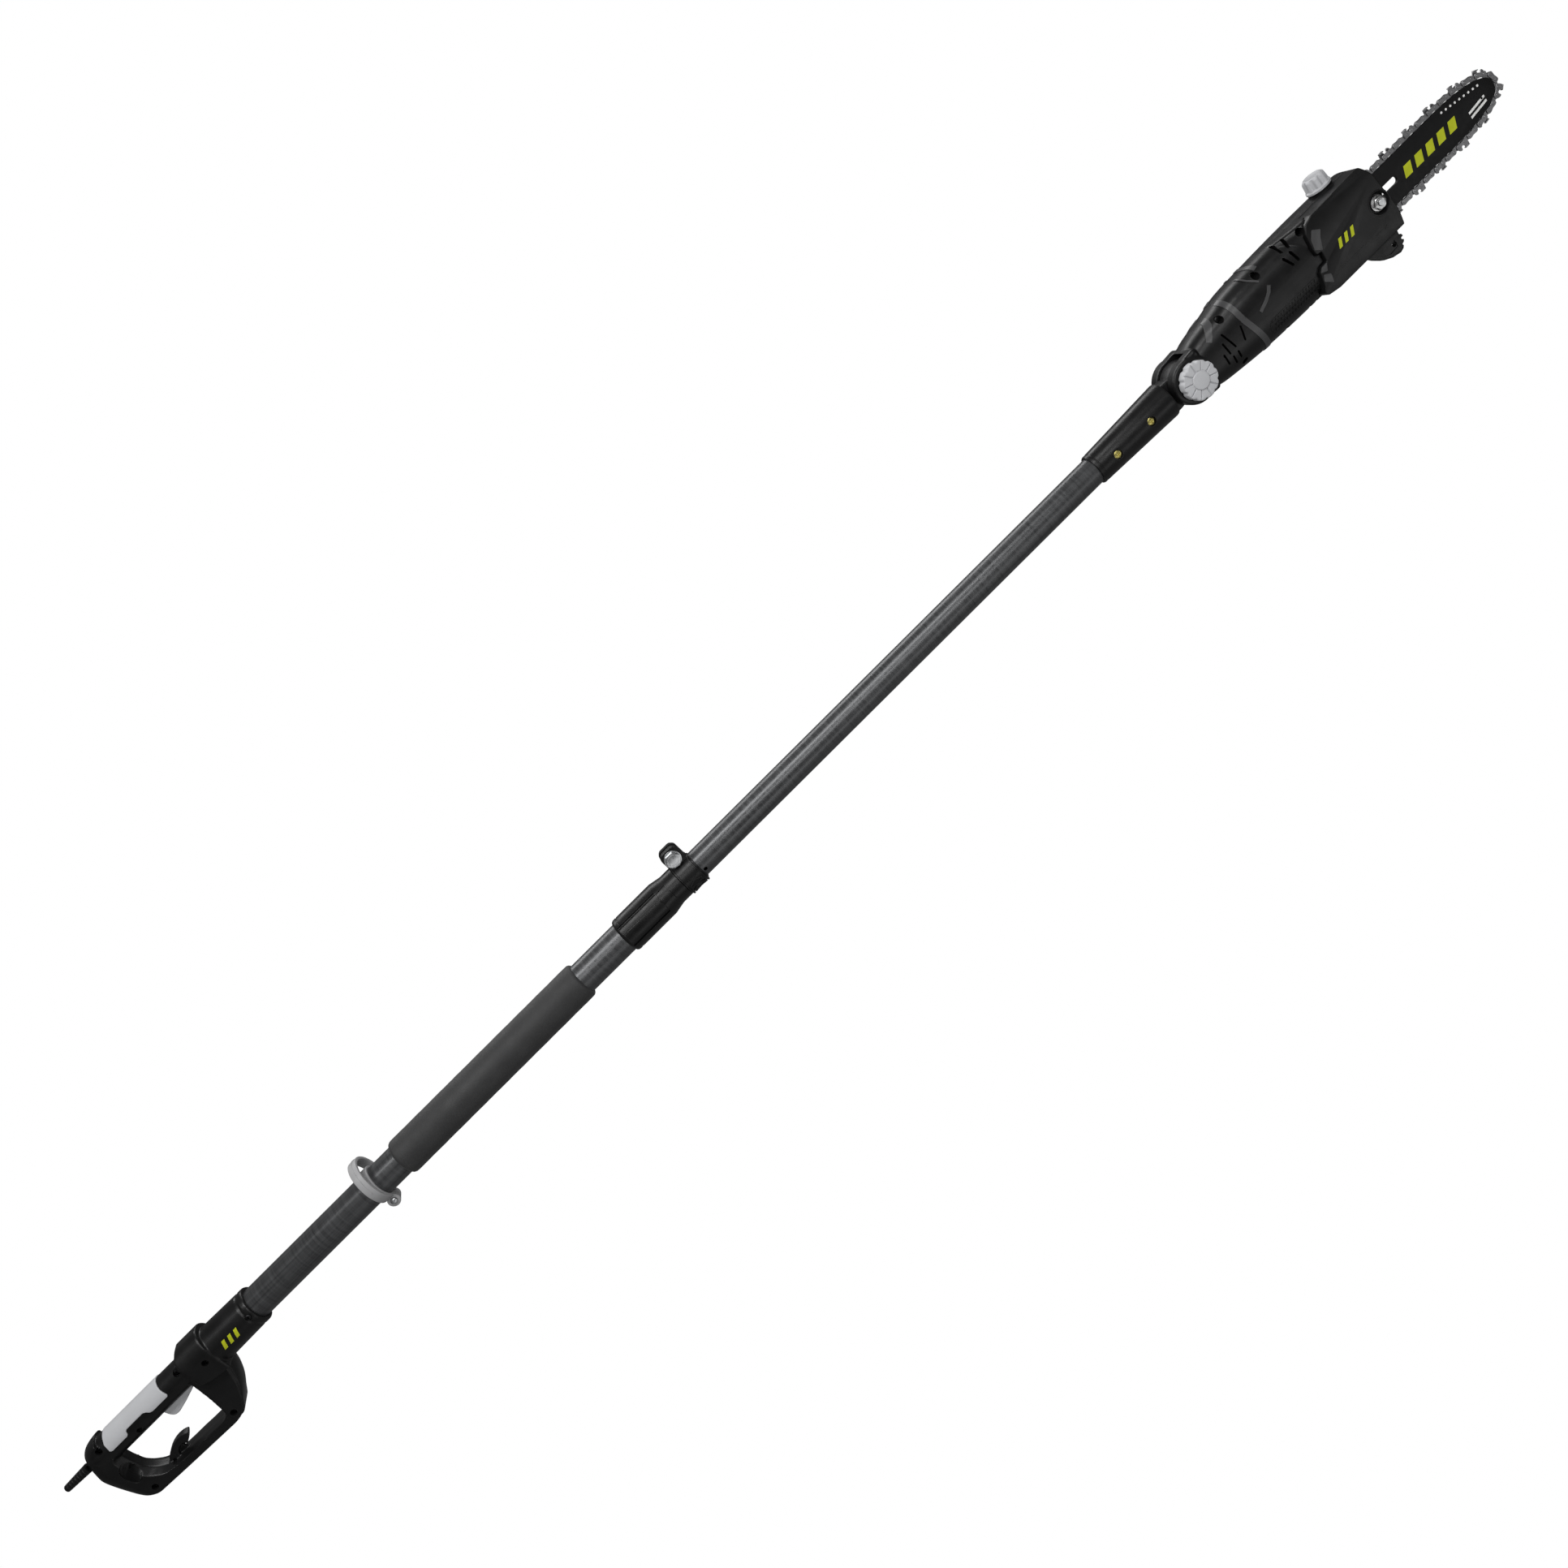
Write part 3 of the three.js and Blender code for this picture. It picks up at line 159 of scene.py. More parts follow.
# ------------------------------------------------------------------ materials
class Nodes:
    """Short hand for wiring one material's nodes."""

    def __init__(self, name):
        self.material = bpy.data.materials.new(name)
        self.material.use_nodes = True
        self.tree = self.material.node_tree
        self.shader = self.tree.nodes["Principled BSDF"]
        self.place = self.tree.nodes.new("ShaderNodeTexCoord").outputs["Object"]

    def add(self, kind, inputs=(), **settings):
        node = self.tree.nodes.new(kind)
        for key, value in settings.items():
            setattr(node, key, value)
        for key, value in dict(inputs).items():
            if isinstance(value, bpy.types.NodeSocket):
                self.tree.links.new(value, node.inputs[key])
            else:
                node.inputs[key].default_value = value
        return node

    def stretched(self, scale):
        return self.add("ShaderNodeMapping", {"Vector": self.place, "Scale": scale}).outputs["Vector"]

    def noise(self, scale, detail=4, roughness=0.6, vector=None):
        inputs = {"Vector": vector or self.place, "Scale": scale, "Detail": detail, "Roughness": roughness}
        return self.add("ShaderNodeTexNoise", inputs).outputs["Fac"]

    def spread(self, value, low, high, start=0.3, end=0.7):
        inputs = {"Value": value, "From Min": start, "From Max": end, "To Min": low, "To Max": high}
        return self.add("ShaderNodeMapRange", inputs).outputs["Result"]

    def blend(self, factor, first, second):
        node = self.add("ShaderNodeMix", {"Factor": factor}, data_type="RGBA")
        node.inputs[6].default_value = (*first, 1)
        node.inputs[7].default_value = (*second, 1)
        return node.outputs[2]

    def bump(self, height, strength, distance, normal=None):
        inputs = {"Height": height, "Strength": strength, "Distance": distance}
        if normal is not None:
            inputs["Normal"] = normal
        return self.add("ShaderNodeBump", inputs).outputs["Normal"]

    def set(self, socket, value):
        if isinstance(value, bpy.types.NodeSocket):
            self.tree.links.new(value, self.shader.inputs[socket])
        else:
            self.shader.inputs[socket].default_value = value

    def worn_edges(self, amount):
        """1 on edges, broken up by noise, 0 elsewhere."""
        turned_normal = self.add("ShaderNodeBevel", {"Radius": 0.0007}, samples=4).outputs["Normal"]
        flat_normal = self.add("ShaderNodeNewGeometry").outputs["Normal"]
        pair = {0: turned_normal, 1: flat_normal}
        likeness = self.add("ShaderNodeVectorMath", pair, operation="DOT_PRODUCT")
        edge = self.spread(likeness.outputs["Value"], 1, 0, 0.72, 0.94)
        patches = self.spread(self.noise(70), 0.2 * amount, amount, 0.4, 0.65)
        return self.add("ShaderNodeMath", {0: edge, 1: patches}, operation="MULTIPLY").outputs[0]


def moulded(name, dark, light, roughness, grain=0.12, wear=(0.2, 0.2, 0.2), scuffs=0.4):
    """Moulded plastic: spark-eroded grain, faint colour drift, scuffed edges."""
    n = Nodes(name)
    drift = n.blend(n.spread(n.noise(22), 0, 1), dark, light)
    scuffed = n.add("ShaderNodeMix", {"Factor": n.worn_edges(scuffs)}, data_type="RGBA")
    n.tree.links.new(drift, scuffed.inputs[6])
    scuffed.inputs[7].default_value = (*wear, 1)
    n.set("Base Color", scuffed.outputs[2])
    n.set("Roughness", n.spread(n.noise(60), roughness - 0.05, roughness + 0.08))
    fine = n.bump(n.noise(2600, 2), grain, 0.0001)
    n.set("Normal", n.bump(n.noise(14, 2), 0.05, 0.002, fine))
    n.set("Specular IOR Level", 0.3)
    return n.material


def brushed_tube(name):
    """Dark tube with fine streaks round it, as drawn and painted aluminium has."""
    n = Nodes(name)
    rings = n.noise(1.0, 6, 0.7, n.stretched((210, 9, 9)))
    along = n.noise(1.0, 4, 0.6, n.stretched((5, 300, 300)))
    tone = n.add("ShaderNodeMath", {0: rings, 1: along}, operation="ADD").outputs[0]
    n.set("Base Color", n.blend(n.spread(tone, 0, 1, 0.75, 1.25), (0.05, 0.051, 0.053), (0.105, 0.107, 0.11)))
    n.set("Metallic", 0.55)
    n.set("Roughness", n.spread(rings, 0.26, 0.42))
    n.set("Normal", n.bump(rings, 0.1, 0.0002))
    return n.material


def foam_rubber(name):
    """Closed-cell foam: fine pores, faintly paler in random speckles."""
    n = Nodes(name)
    cells = n.add("ShaderNodeTexVoronoi", {"Vector": n.place, "Scale": 900.0}).outputs["Distance"]
    speckle = n.spread(n.noise(45, 6), 0, 1)
    n.set("Base Color", n.blend(speckle, (0.017, 0.017, 0.0175), (0.024, 0.024, 0.0245)))
    n.set("Roughness", n.spread(n.noise(30), 0.55, 0.66))
    pores = n.bump(cells, 0.5, 0.0003)
    n.set("Normal", n.bump(n.noise(160, 4), 0.2, 0.0005, pores))
    n.set("Sheen Weight", 0.08)
    n.set("Sheen Roughness", 0.5)
    return n.material


def metal(name, dark, light, roughness, streak=(1, 1, 1), scale=240):
    """Plated, ground or cast metal with fine marks and uneven gloss."""
    n = Nodes(name)
    marks = n.noise(scale, 6, 0.7, n.stretched(streak))
    n.set("Base Color", n.blend(n.spread(marks, 0, 1), dark, light))
    n.set("Metallic", 1.0)
    n.set("Roughness", n.spread(n.noise(scale / 3), roughness - 0.07, roughness + 0.1))
    n.set("Normal", n.bump(marks, 0.12, 0.0002))
    return n.material


def paint(name, dark, light, roughness):
    """Printed or sprayed paint, slightly uneven, with pinholes."""
    n = Nodes(name)
    n.set("Base Color", n.blend(n.spread(n.noise(90, 5), 0, 1), dark, light))
    n.set("Roughness", n.spread(n.noise(200), roughness - 0.06, roughness + 0.1))
    n.set("Normal", n.bump(n.noise(900, 3), 0.1, 0.0001))
    n.set("Specular IOR Level", 0.25)
    return n.material


BLACK_WEAR = (0.09, 0.09, 0.09)
PALE_WEAR = (0.7, 0.7, 0.71)
RING_WEAR = (0.4, 0.4, 0.4)
WOUND = (1, 9, 9)  # how far the windings' marks are stretched on each axis
LOOKS = {
    # name: (kind, dark, light, roughness, then what that kind takes)
    "black_plastic": (moulded, (0.0045, 0.0045, 0.0046), (0.0075, 0.0075, 0.0077), 0.33, 0.12, BLACK_WEAR),
    # the raised bands and ramps: black plastic given a lighter base colour, a painted sheen standing in for
    # the light they catch
    "painted_sheen_plastic": (moulded, (0.05, 0.05, 0.051), (0.062, 0.062, 0.063), 0.3),
    "grey_plastic": (moulded, (0.47, 0.475, 0.49), (0.52, 0.525, 0.54), 0.42, 0.07, PALE_WEAR, 0.1),
    "inner_plastic": (moulded, (0.03, 0.032, 0.035), (0.05, 0.053, 0.057), 0.5),
    "ring_plastic": (moulded, (0.33, 0.33, 0.335), (0.38, 0.38, 0.385), 0.42, 0.07, RING_WEAR),
    "tube": (brushed_tube,),
    "foam": (foam_rubber,),
    "zinc": (metal, (0.5, 0.51, 0.52), (0.66, 0.67, 0.68), 0.3),
    "yellow_zinc": (metal, (0.42, 0.36, 0.1), (0.62, 0.55, 0.2), 0.33),
    "steel": (metal, (0.2, 0.2, 0.205), (0.3, 0.3, 0.305), 0.42),
    "bright_steel": (metal, (0.5, 0.5, 0.5), (0.7, 0.7, 0.7), 0.3),
    "black_steel": (metal, (0.02, 0.02, 0.021), (0.04, 0.04, 0.041), 0.4),
    "bar_paint": (paint, (0.003, 0.003, 0.0031), (0.005, 0.005, 0.0052), 0.5),
    "windings": (metal, (0.3, 0.12, 0.04), (0.6, 0.27, 0.1), 0.4, WOUND),
    "lime_paint": (paint, (0.42, 0.46, 0.012), (0.5, 0.55, 0.02), 0.45),
    "white_paint": (paint, (0.7, 0.7, 0.68), (0.85, 0.85, 0.84), 0.5),
}
MATERIALS = {name: kind(name, *look) for name, (kind, *look) in LOOKS.items()}


# ------------------------------------------------------------------ mesh helpers
def mesh_object(name, points, faces):
    """A mesh object from points in millimetres, with its faces turned outwards."""
    mesh = bpy.data.meshes.new(name)
    mesh.from_pydata([Vector(p) * MM for p in points], [], faces)
    piece = bpy.data.objects.new(name, mesh)
    bpy.context.scene.collection.objects.link(piece)
    shell = bmesh.new()
    shell.from_mesh(mesh)
    bmesh.ops.remove_doubles(shell, verts=shell.verts, dist=1e-6)
    bmesh.ops.recalc_face_normals(shell, faces=shell.faces)
    shell.to_mesh(mesh)
    shell.free()
    return piece


def baked(piece):
    """Applies a piece's modifiers."""
    graph = bpy.context.evaluated_depsgraph_get()
    mesh = bpy.data.meshes.new_from_object(piece.evaluated_get(graph))
    piece.modifiers.clear()
    piece.data = mesh
    return piece


def modified(piece, kind, **settings):
    modifier = piece.modifiers.new(kind.lower(), kind)
    for key, value in settings.items():
        setattr(modifier, key, value)
    return baked(piece)


def combined(piece, operation, tools, solver="MANIFOLD"):
    """Joins or cuts piece with tools, which are used up."""
    for tool in tools:
        modified(piece, "BOOLEAN", object=tool, operation=operation, solver=solver)
        bpy.data.objects.remove(tool)
    return piece


def cut(piece, *tools):
    return combined(piece, "DIFFERENCE", tools)


def join(piece, *tools):
    return combined(piece, "UNION", tools)


def common(piece, *tools):
    return combined(piece, "INTERSECT", tools)


def softened(piece, width, segments=3, angle=60):
    """Rounds the edges that are sharper than angle."""
    return modified(
        piece,
        "BEVEL",
        width=width * MM,
        segments=segments,
        limit_method="ANGLE",
        angle_limit=radians(angle),
        use_clamp_overlap=True,
        miter_outer="MITER_ARC",
    )


def remeshed(piece, voxel, rounds=4, factor=0.5):
    """One even skin whose edges are slightly rounded, as a moulding's are."""
    modified(piece, "REMESH", mode="VOXEL", voxel_size=voxel * MM)
    return modified(piece, "SMOOTH", factor=factor, iterations=rounds)


def shown(piece, material, body, replaces=(), angle=SMOOTH_ANGLE):
    """Finishes a piece: shading, material, the body it rides on and what it stands for."""
    piece.data.shade_smooth()
    piece.data.set_sharp_from_angle(angle=angle)
    piece.data.materials.clear()
    piece.data.materials.append(MATERIALS[material])
    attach(piece, body)
    if replaces:
        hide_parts(*replaces)
    return piece


def grid_faces(rows, columns, closed=False):
    """Quads between rows of points; closed joins the last row to the first."""
    faces = []
    for i in range(rows if closed else rows - 1):
        for j in range(columns):
            k = (j + 1) % columns
            n = (i + 1) % rows
            faces.append((i * columns + j, i * columns + k, n * columns + k, n * columns + j))
    return faces


def lofted(name, sections):
    """Skin over closed sections of equal point count, with flat ends."""
    columns = len(sections[0])
    faces = grid_faces(len(sections), columns)
    faces.append(tuple(range(columns)))
    faces.append(tuple((len(sections) - 1) * columns + j for j in range(columns)))
    return mesh_object(name, [p for section in sections for p in section], faces)


def turned(name, profile, steps=96, at=(0, 0), closed=False):
    """Round about X from (x, radius) pairs; closed joins the profile's ends to make a ring."""
    rows = [
        [(x, at[0] + r * cos(2 * pi * j / steps), at[1] + r * sin(2 * pi * j / steps)) for j in range(steps)]
        for x, r in profile
    ]
    if not closed:
        return lofted(name, rows)
    points = [p for row in rows for p in row]
    return mesh_object(name, points, grid_faces(len(rows), steps, closed=True))


def ring_profile(x0, x1, r, bore, soft=0.6):
    """Closed profile of a tube with softened rims."""
    return [
        (x0, bore + soft * 0.5), (x0, r - soft), (x0 + soft * 0.3, r - soft * 0.3), (x0 + soft, r),
        (x1 - soft, r), (x1 - soft * 0.3, r - soft * 0.3), (x1, r - soft), (x1, bore + soft * 0.5),
        (x1 - soft * 0.5, bore), (x0 + soft * 0.5, bore),
    ]


def plate(name, outline, y0, y1):
    """Outline in X and Z made solid along Y."""
    return lofted(name, [[(x, y, z) for x, z in outline] for y in (y0, y1)])


def slab(name, outline, x0, x1):
    """Outline in Y and Z made solid along X."""
    return lofted(name, [[(x, y, z) for y, z in outline] for x in (x0, x1)])


def bar(name, x, y, z):
    """A block between two values on each axis."""
    return plate(name, [(x[0], z[0]), (x[1], z[0]), (x[1], z[1]), (x[0], z[1])], y[0], y[1])


def circle(r, centre, steps=48):
    turns = [2 * pi * i / steps for i in range(steps)]
    return [(centre[0] + r * cos(turn), centre[1] + r * sin(turn)) for turn in turns]


def stepped(name, levels, centre, steps=48):
    """Round along Y at centre (x, z) from (y, radius) levels."""
    return lofted(name, [[(x, y, z) for x, z in circle(r, centre, steps)] for y, r in levels])


def rod(name, y0, y1, r, centre, steps=48):
    """Round along Y at centre (x, z)."""
    return plate(name, circle(r, centre, steps), y0, y1)


def pin(name, x0, x1, r, at=(0, 0), steps=64):
    """Round along X at (y, z)."""
    return slab(name, circle(r, at, steps), x0, x1)


def smooth_line(points, steps=6, closed=True):
    """Catmull-Rom curve through points."""
    count = len(points)
    line = []
    spans = count if closed else count - 1
    for i in range(spans):
        near = range(i - 1, i + 3)
        around = [points[k % count] if closed else points[min(max(k, 0), count - 1)] for k in near]
        for j in range(steps):
            t = j / steps
            weights = (
                (-t + 2 * t * t - t**3) / 2,
                (2 - 5 * t * t + 3 * t**3) / 2,
                (t + 4 * t * t - 3 * t**3) / 2,
                (-t * t + t**3) / 2,
            )
            line.append(tuple(sum(w * p[k] for w, p in zip(weights, around)) for k in range(len(points[0]))))
    if not closed:
        line.append(tuple(points[-1]))
    return line


def rounded(points, radius, steps=5):
    """Polygon with its corners rounded by up to radius."""
    line = []
    count = len(points)
    for i, point in enumerate(points):
        corner = Vector(point)
        before = Vector(points[i - 1]) - corner
        after = Vector(points[(i + 1) % count]) - corner
        reach = min(radius, before.length * 0.45, after.length * 0.45)
        start = corner + before.normalized() * reach
        end = corner + after.normalized() * reach
        for j in range(steps + 1):
            t = j / steps
            spot = start * (1 - t) ** 2 + corner * 2 * t * (1 - t) + end * t * t
            line.append((spot.x, spot.y))
    return line


def fluted(r, depth, flutes, sharpness, steps):
    """Points round a circle whose rim is cut in by flutes."""
    line = []
    for i in range(steps):
        turn = 2 * pi * i / steps
        reach = r - depth * abs(cos(flutes * turn / 2)) ** sharpness
        line.append((reach * cos(turn), reach * sin(turn)))
    return line


def squarish(power, points):
    """Points round a unit circle whose sides are pushed out by power under 1."""

    def bend(value):
        return (1 if value >= 0 else -1) * abs(value) ** power

    return [(bend(u), bend(v)) for u, v in circle(1, (0, 0), points)]


def mirrored(points):
    """A closed outline from its half above the middle line."""
    return points + [(x, -z) for x, z in reversed(points[1:-1])]


def band(points, width):
    """Outline of a band of that width along an open line of (x, z) points."""
    left, right = [], []
    for i, point in enumerate(points):
        before, after = Vector(points[max(i - 1, 0)]), Vector(points[min(i + 1, len(points) - 1)])
        way = (after - before).normalized()
        left.append((point[0] - way.y * width / 2, point[1] + way.x * width / 2))
        right.append((point[0] + way.y * width / 2, point[1] - way.x * width / 2))
    return left + right[::-1]


def offset(outline, distance):
    """Outline moved outwards by distance, with mitred corners."""
    count = len(outline)
    area = sum(outline[i - 1][0] * outline[i][1] - outline[i][0] * outline[i - 1][1] for i in range(count))
    outwards = distance if area > 0 else -distance
    moved = []
    for i, (u, v) in enumerate(outline):
        before = Vector((u, v)) - Vector(outline[i - 1])
        after = Vector(outline[(i + 1) % count]) - Vector((u, v))
        before.normalize()
        after.normalize()
        normal = Vector((before.y + after.y, -before.x - after.x)).normalized()
        mitre = outwards / max(0.5, normal.x * before.y - normal.y * before.x)
        moved.append((u + normal.x * mitre, v + normal.y * mitre))
    return moved


def copy_of(piece, name):
    twin = piece.copy()
    twin.data = piece.data.copy()
    twin.name = name
    bpy.context.scene.collection.objects.link(twin)
    return twin


def merged(name, pieces):
    """One object holding several separate closed bodies."""
    shell = bmesh.new()
    for piece in pieces:
        shell.from_mesh(piece.data)
        bpy.data.objects.remove(piece)
    mesh = bpy.data.meshes.new(name)
    shell.to_mesh(mesh)
    shell.free()
    whole = bpy.data.objects.new(name, mesh)
    bpy.context.scene.collection.objects.link(whole)
    return whole


# ------------------------------------------------------------------ small parts
def cross_screw(node, body, material, head=3.6, shank=1.6, height=2.3):
    """Pan-head cross screw along Y, its head towards -Y, in place of a CAD screw."""
    low, high = cad(node)
    x, z = (low.x + high.x) / 2, (low.z + high.z) / 2
    profile = [
        (0, head * 0.5), (height * 0.12, head * 0.8), (height * 0.4, head), (height, head), (height, shank),
        (high.y - low.y, shank),
    ]
    piece = stepped(node + "_cross", [(low.y + depth, r) for depth, r in profile], (x, z), 40)
    long, short = head * 0.52, head * 0.13
    for a, b in ((long, short), (short, long)):
        cut(piece, bar("cross", (x - a, x + a), (low.y - 1, low.y + height * 0.7), (z - b, z + b)))
    shown(piece, material, body, replaces=[node])


SPLIT = 0.15  # half the seam between two half shells


def halves(whole, right_name, left_name):
    """The two moulded shells of a body, parted along Y = 0."""
    left = copy_of(whole, left_name)
    whole.name = right_name
    common(whole, bar("side", EVERYWHERE, (-300, -SPLIT), EVERYWHERE))
    common(left, bar("side", EVERYWHERE, (SPLIT, 300), EVERYWHERE))
    return whole, left


# ------------------------------------------------------------------ handle
HANDLE_SCREWS = [
    (-1167, 13, -11), (-1116, -5, -12), (-1033, 14, -11), (-996, 1, -20), (-1167, -72, -10),
    (-1033, -75, -10),
]
TUBE_SCREW = (-920, 3, -23.5)  # x, z and the y its head rests on, as above
SCREW_HEAD = 3.6
GRIP_Z = 3.5  # the grip lies this far above the pole's axis
GRIP_R = 19
HANDLE_HALF = 17
GUARD_OUTSIDE = [
    (-1170, 25.5), (-1183, 23.5), (-1191, 18), (-1196.5, 10), (-1202, -5), (-1206, -21.5), (-1204.5, -31),
    (-1201, -46), (-1194.5, -67), (-1189, -77), (-1178, -84), (-1120, -87), (-1046, -89.5), (-1035, -88),
    (-1025, -83), (-1009, -70.5), (-996.5, -57), (-986.5, -40.5), (-981.5, -27), (-985, 20), (-1060, 21.5),
]
GUARD_OUTSIDE_FLAT = [
    (-1160, 20), (-1165, 18.5), (-1170, 14), (-1174, 7), (-1178, -5), (-1181, -19), (-1180, -30),
    (-1177.5, -44), (-1175.5, -61), (-1174, -73), (-1166, -81), (-1118, -83), (-1040, -86), (-1029, -84.5),
    (-1021, -78), (-1010, -67), (-1001.5, -55), (-994, -40), (-989, -22), (-990, 20), (-1060, 21.5),
]
GUARD_INSIDE = [
    (-1162, -8), (-1161, -28), (-1158, -46), (-1151, -58), (-1141, -66), (-1125, -71), (-1050, -74),
    (-1043, -70), (-1038, -40), (-1035, -8),
]
GUARD_INSIDE_FLAT = [
    (-1172, -8), (-1175, -24), (-1171, -42), (-1162.5, -57), (-1150, -69), (-1128, -73.5), (-1049, -75),
    (-1039.5, -70), (-1035.5, -40), (-1033.5, -8),
]


def across_guard(name, middle, flat, reach, blend, layers=16):
    """Skin across the guard that goes from its middle outline to its flat one by way of blend."""
    sections = []
    for k in range(-layers, layers + 1):
        y = sin(pi / 2 * k / layers)
        share = blend(abs(y))
        edge = [Vector(a).lerp(Vector(b), share) for a, b in zip(middle, flat)]
        sections.append([(x, y * reach, z) for x, z in edge])
    return lofted(name, sections)


def handle_loop():
    """Hand guard: narrow flat sides, rounded away to the back, the front and the opening."""

    def bulge(y):
        return 1 - sqrt(1 - 0.9 * y * y)

    def flare(y):
        return max(0, y - 0.35) / 0.65

    outer, outer_flat = rounded(GUARD_OUTSIDE, 7), rounded(GUARD_OUTSIDE_FLAT, 7)
    inner, inner_flat = rounded(GUARD_INSIDE, 6), rounded(GUARD_INSIDE_FLAT, 6)
    outside = across_guard("guard", outer, outer_flat, HANDLE_HALF, bulge)
    inside = across_guard("inside", inner, inner_flat, HANDLE_HALF + 3, flare)
    beside_grip = bar("beside_grip", (-1166, -1031), EVERYWHERE, (-8.5, 60))
    return cut(outside, inside, beside_grip)


def front_web():
    """Web between the guard and the pole: flat side panels with a long rounded front."""
    panel = [
        (-1029, 16), (-988, 16), (-987, -8), (-989.5, -25), (-999, -50), (-1011, -70), (-1024, -85),
        (-1040, -85), (-1040, -72), (-1036, -45), (-1033, -8),
    ]
    return softened(plate("web", rounded(panel, 5), -HANDLE_HALF - 1.2, HANDLE_HALF + 1.2), 1.6)


def collar_band():
    rear, front, half, top, bottom = -1024, -982, 27, 33, -28
    outline = [
        (-half, bottom), (half, bottom), (half, 10), (half * 0.93, 17), (half * 0.78, 24),
        (half * 0.58, 29.5),
        (half * 0.3, top), (-half * 0.3, top), (-half * 0.58, 29.5), (-half * 0.78, 24), (-half * 0.93, 17),
        (-half, 10),
    ]
    band = softened(slab("collar", rounded(outline, 4), rear, front), 2.2)
    chamfer = plate("chamfer", [(rear - 2, 40), (rear - 2, 23), (rear + 8, 34), (rear + 8, 40)], *THROUGH)
    slope = [
        (rear - 5, -60), (front + 5, -60), (front + 5, -27), (front - 10, -24), (rear + 14, -21),
        (rear - 5, -14),
    ]
    return cut(band, chamfer, plate("under", slope, *THROUGH))


def tube_sleeve():
    rear, front = -1012, -912
    profile = [
        (rear, 24), (rear + 2, 26.5), (-984, 26.5), (-924, 25.5), (-922.6, 24.5), (-920.6, 24.5),
        (-919.4, 25.6),
        (front - 1.4, 25.4), (front - 0.3, 24.6), (front, 23.6),
    ]
    return turned("sleeve", profile)


def grip_tube():
    profile = [
        (-1190, 11), (-1187, 15), (-1183, 17.6), (-1177, 18.8), (-1170, GRIP_R), (-1022, GRIP_R),
        (-1010, GRIP_R + 1),
    ]
    return turned("grip", profile, at=(0, GRIP_Z))


def lead_hook():
    """Hook that holds the extension lead, open towards the saw head."""
    arc = [
        (-1142, -78), (-1137, -66), (-1127, -57.5), (-1114, -52.6), (-1103, -52), (-1095, -54.5),
        (-1094.5, -57),
        (-1103, -64.5), (-1106, -64), (-1109, -61), (-1116, -62), (-1121, -66), (-1122, -70), (-1117, -72),
        (-1111, -78),
    ]
    hook = softened(plate("hook", smooth_line(arc, 3), -6.5, 6.5), 1.3)
    fin = softened(plate("fin", [(-1125, -78), (-1122, -63), (-1112, -62), (-1109, -78)], -2, 2), 0.8, 2)
    return join(hook, fin)


def insert_room(grow):
    """Room for the pale grip insert: a curved panel over the top of the grip, with a notch."""
    rear, front = -1157, -1059
    top_line = [
        (rear + 9, 40), (rear + 4, 17), (rear, 6), (rear - 0.5, -4.5), (rear + 2, -6.5), (-1130, -6.5),
        (-1127.5, -5), (-1126, -1), (-1124, 0.5), (-1096, 0.5), (-1093, -1), (-1089.5, -5), (-1086, -6.5),
        (front - 2, -6.5), (front, -4.5), (front - 2.5, 6), (front - 3.2, 14), (front - 1, 22), (front, 40),
    ]
    lifted = [(x, z + 8.5) for x, z in top_line]
    outer, inner = GRIP_R + 0.9 + grow, GRIP_R - 1.8 - grow
    skin = turned("skin", [(rear - 12, outer), (front + 12, outer)], 128, at=(0, GRIP_Z))
    cut(skin, turned("bore", [(rear - 20, inner), (front + 20, inner)], 128, at=(0, GRIP_Z)))
    outline = plate("outline", offset(lifted, grow), *THROUGH)
    return common(skin, outline)


def handle_body():
    web_hollow = [
        (-1029, -10), (-994, -10), (-996, -28), (-1005, -50), (-1018, -66), (-1034, -66), (-1031, -40),
    ]
    window = [(-1174.5, -23.5), (-1165, -23.5), (-1162.5, -46), (-1173.5, -52), (-1179, -36)]
    whole = join(handle_loop(), front_web(), grip_tube(), collar_band(), tube_sleeve(), lead_hook())
    bores = [
        turned("grip_bore", [(-1173, 15.5), (-1008, 15.5)], at=(0, GRIP_Z)),
        turned("tube_seat", [(-985.3, 21.05), (-900, 21.05)]),
        turned("lead_way", [(-1215, 4), (-1165, 4)], at=(0, 2)),
        plate("web_hollow", web_hollow, -11, 11),
        bar("trigger_slot", (-1092, -1030), (-7.5, 7.5), (-40, 0)),
        rod("button_hole", 0, 40, 6.8, (-1050, GRIP_Z)),
        plate("window", smooth_line(window, 4), -30, 30),
    ]
    cut(whole, *bores)
    remeshed(whole, 0.85, 3)
    window_rib = plate("window_rib", [(-1175, -36.4), (-1163, -38), (-1163, -36.2), (-1175, -34.6)], -2, 12)
    join(whole, window_rib)
    seats = [*HANDLE_SCREWS, TUBE_SCREW]
    recesses = [rod("recess", -60, seat, SCREW_HEAD + 0.9, (x, z)) for x, z, seat in seats]
    shanks = [rod("shank", -60, 10.5, 1.9, (x, z)) for x, z, _ in HANDLE_SCREWS]
    tube_shank = rod("shank", -60, -10, 1.9, TUBE_SCREW[:2])
    eye = rod("eye", -30, 30, 2.6, (-1131, -69))
    cut(whole, insert_room(0.35), *recesses, *shanks, tube_shank, eye)
    return whole


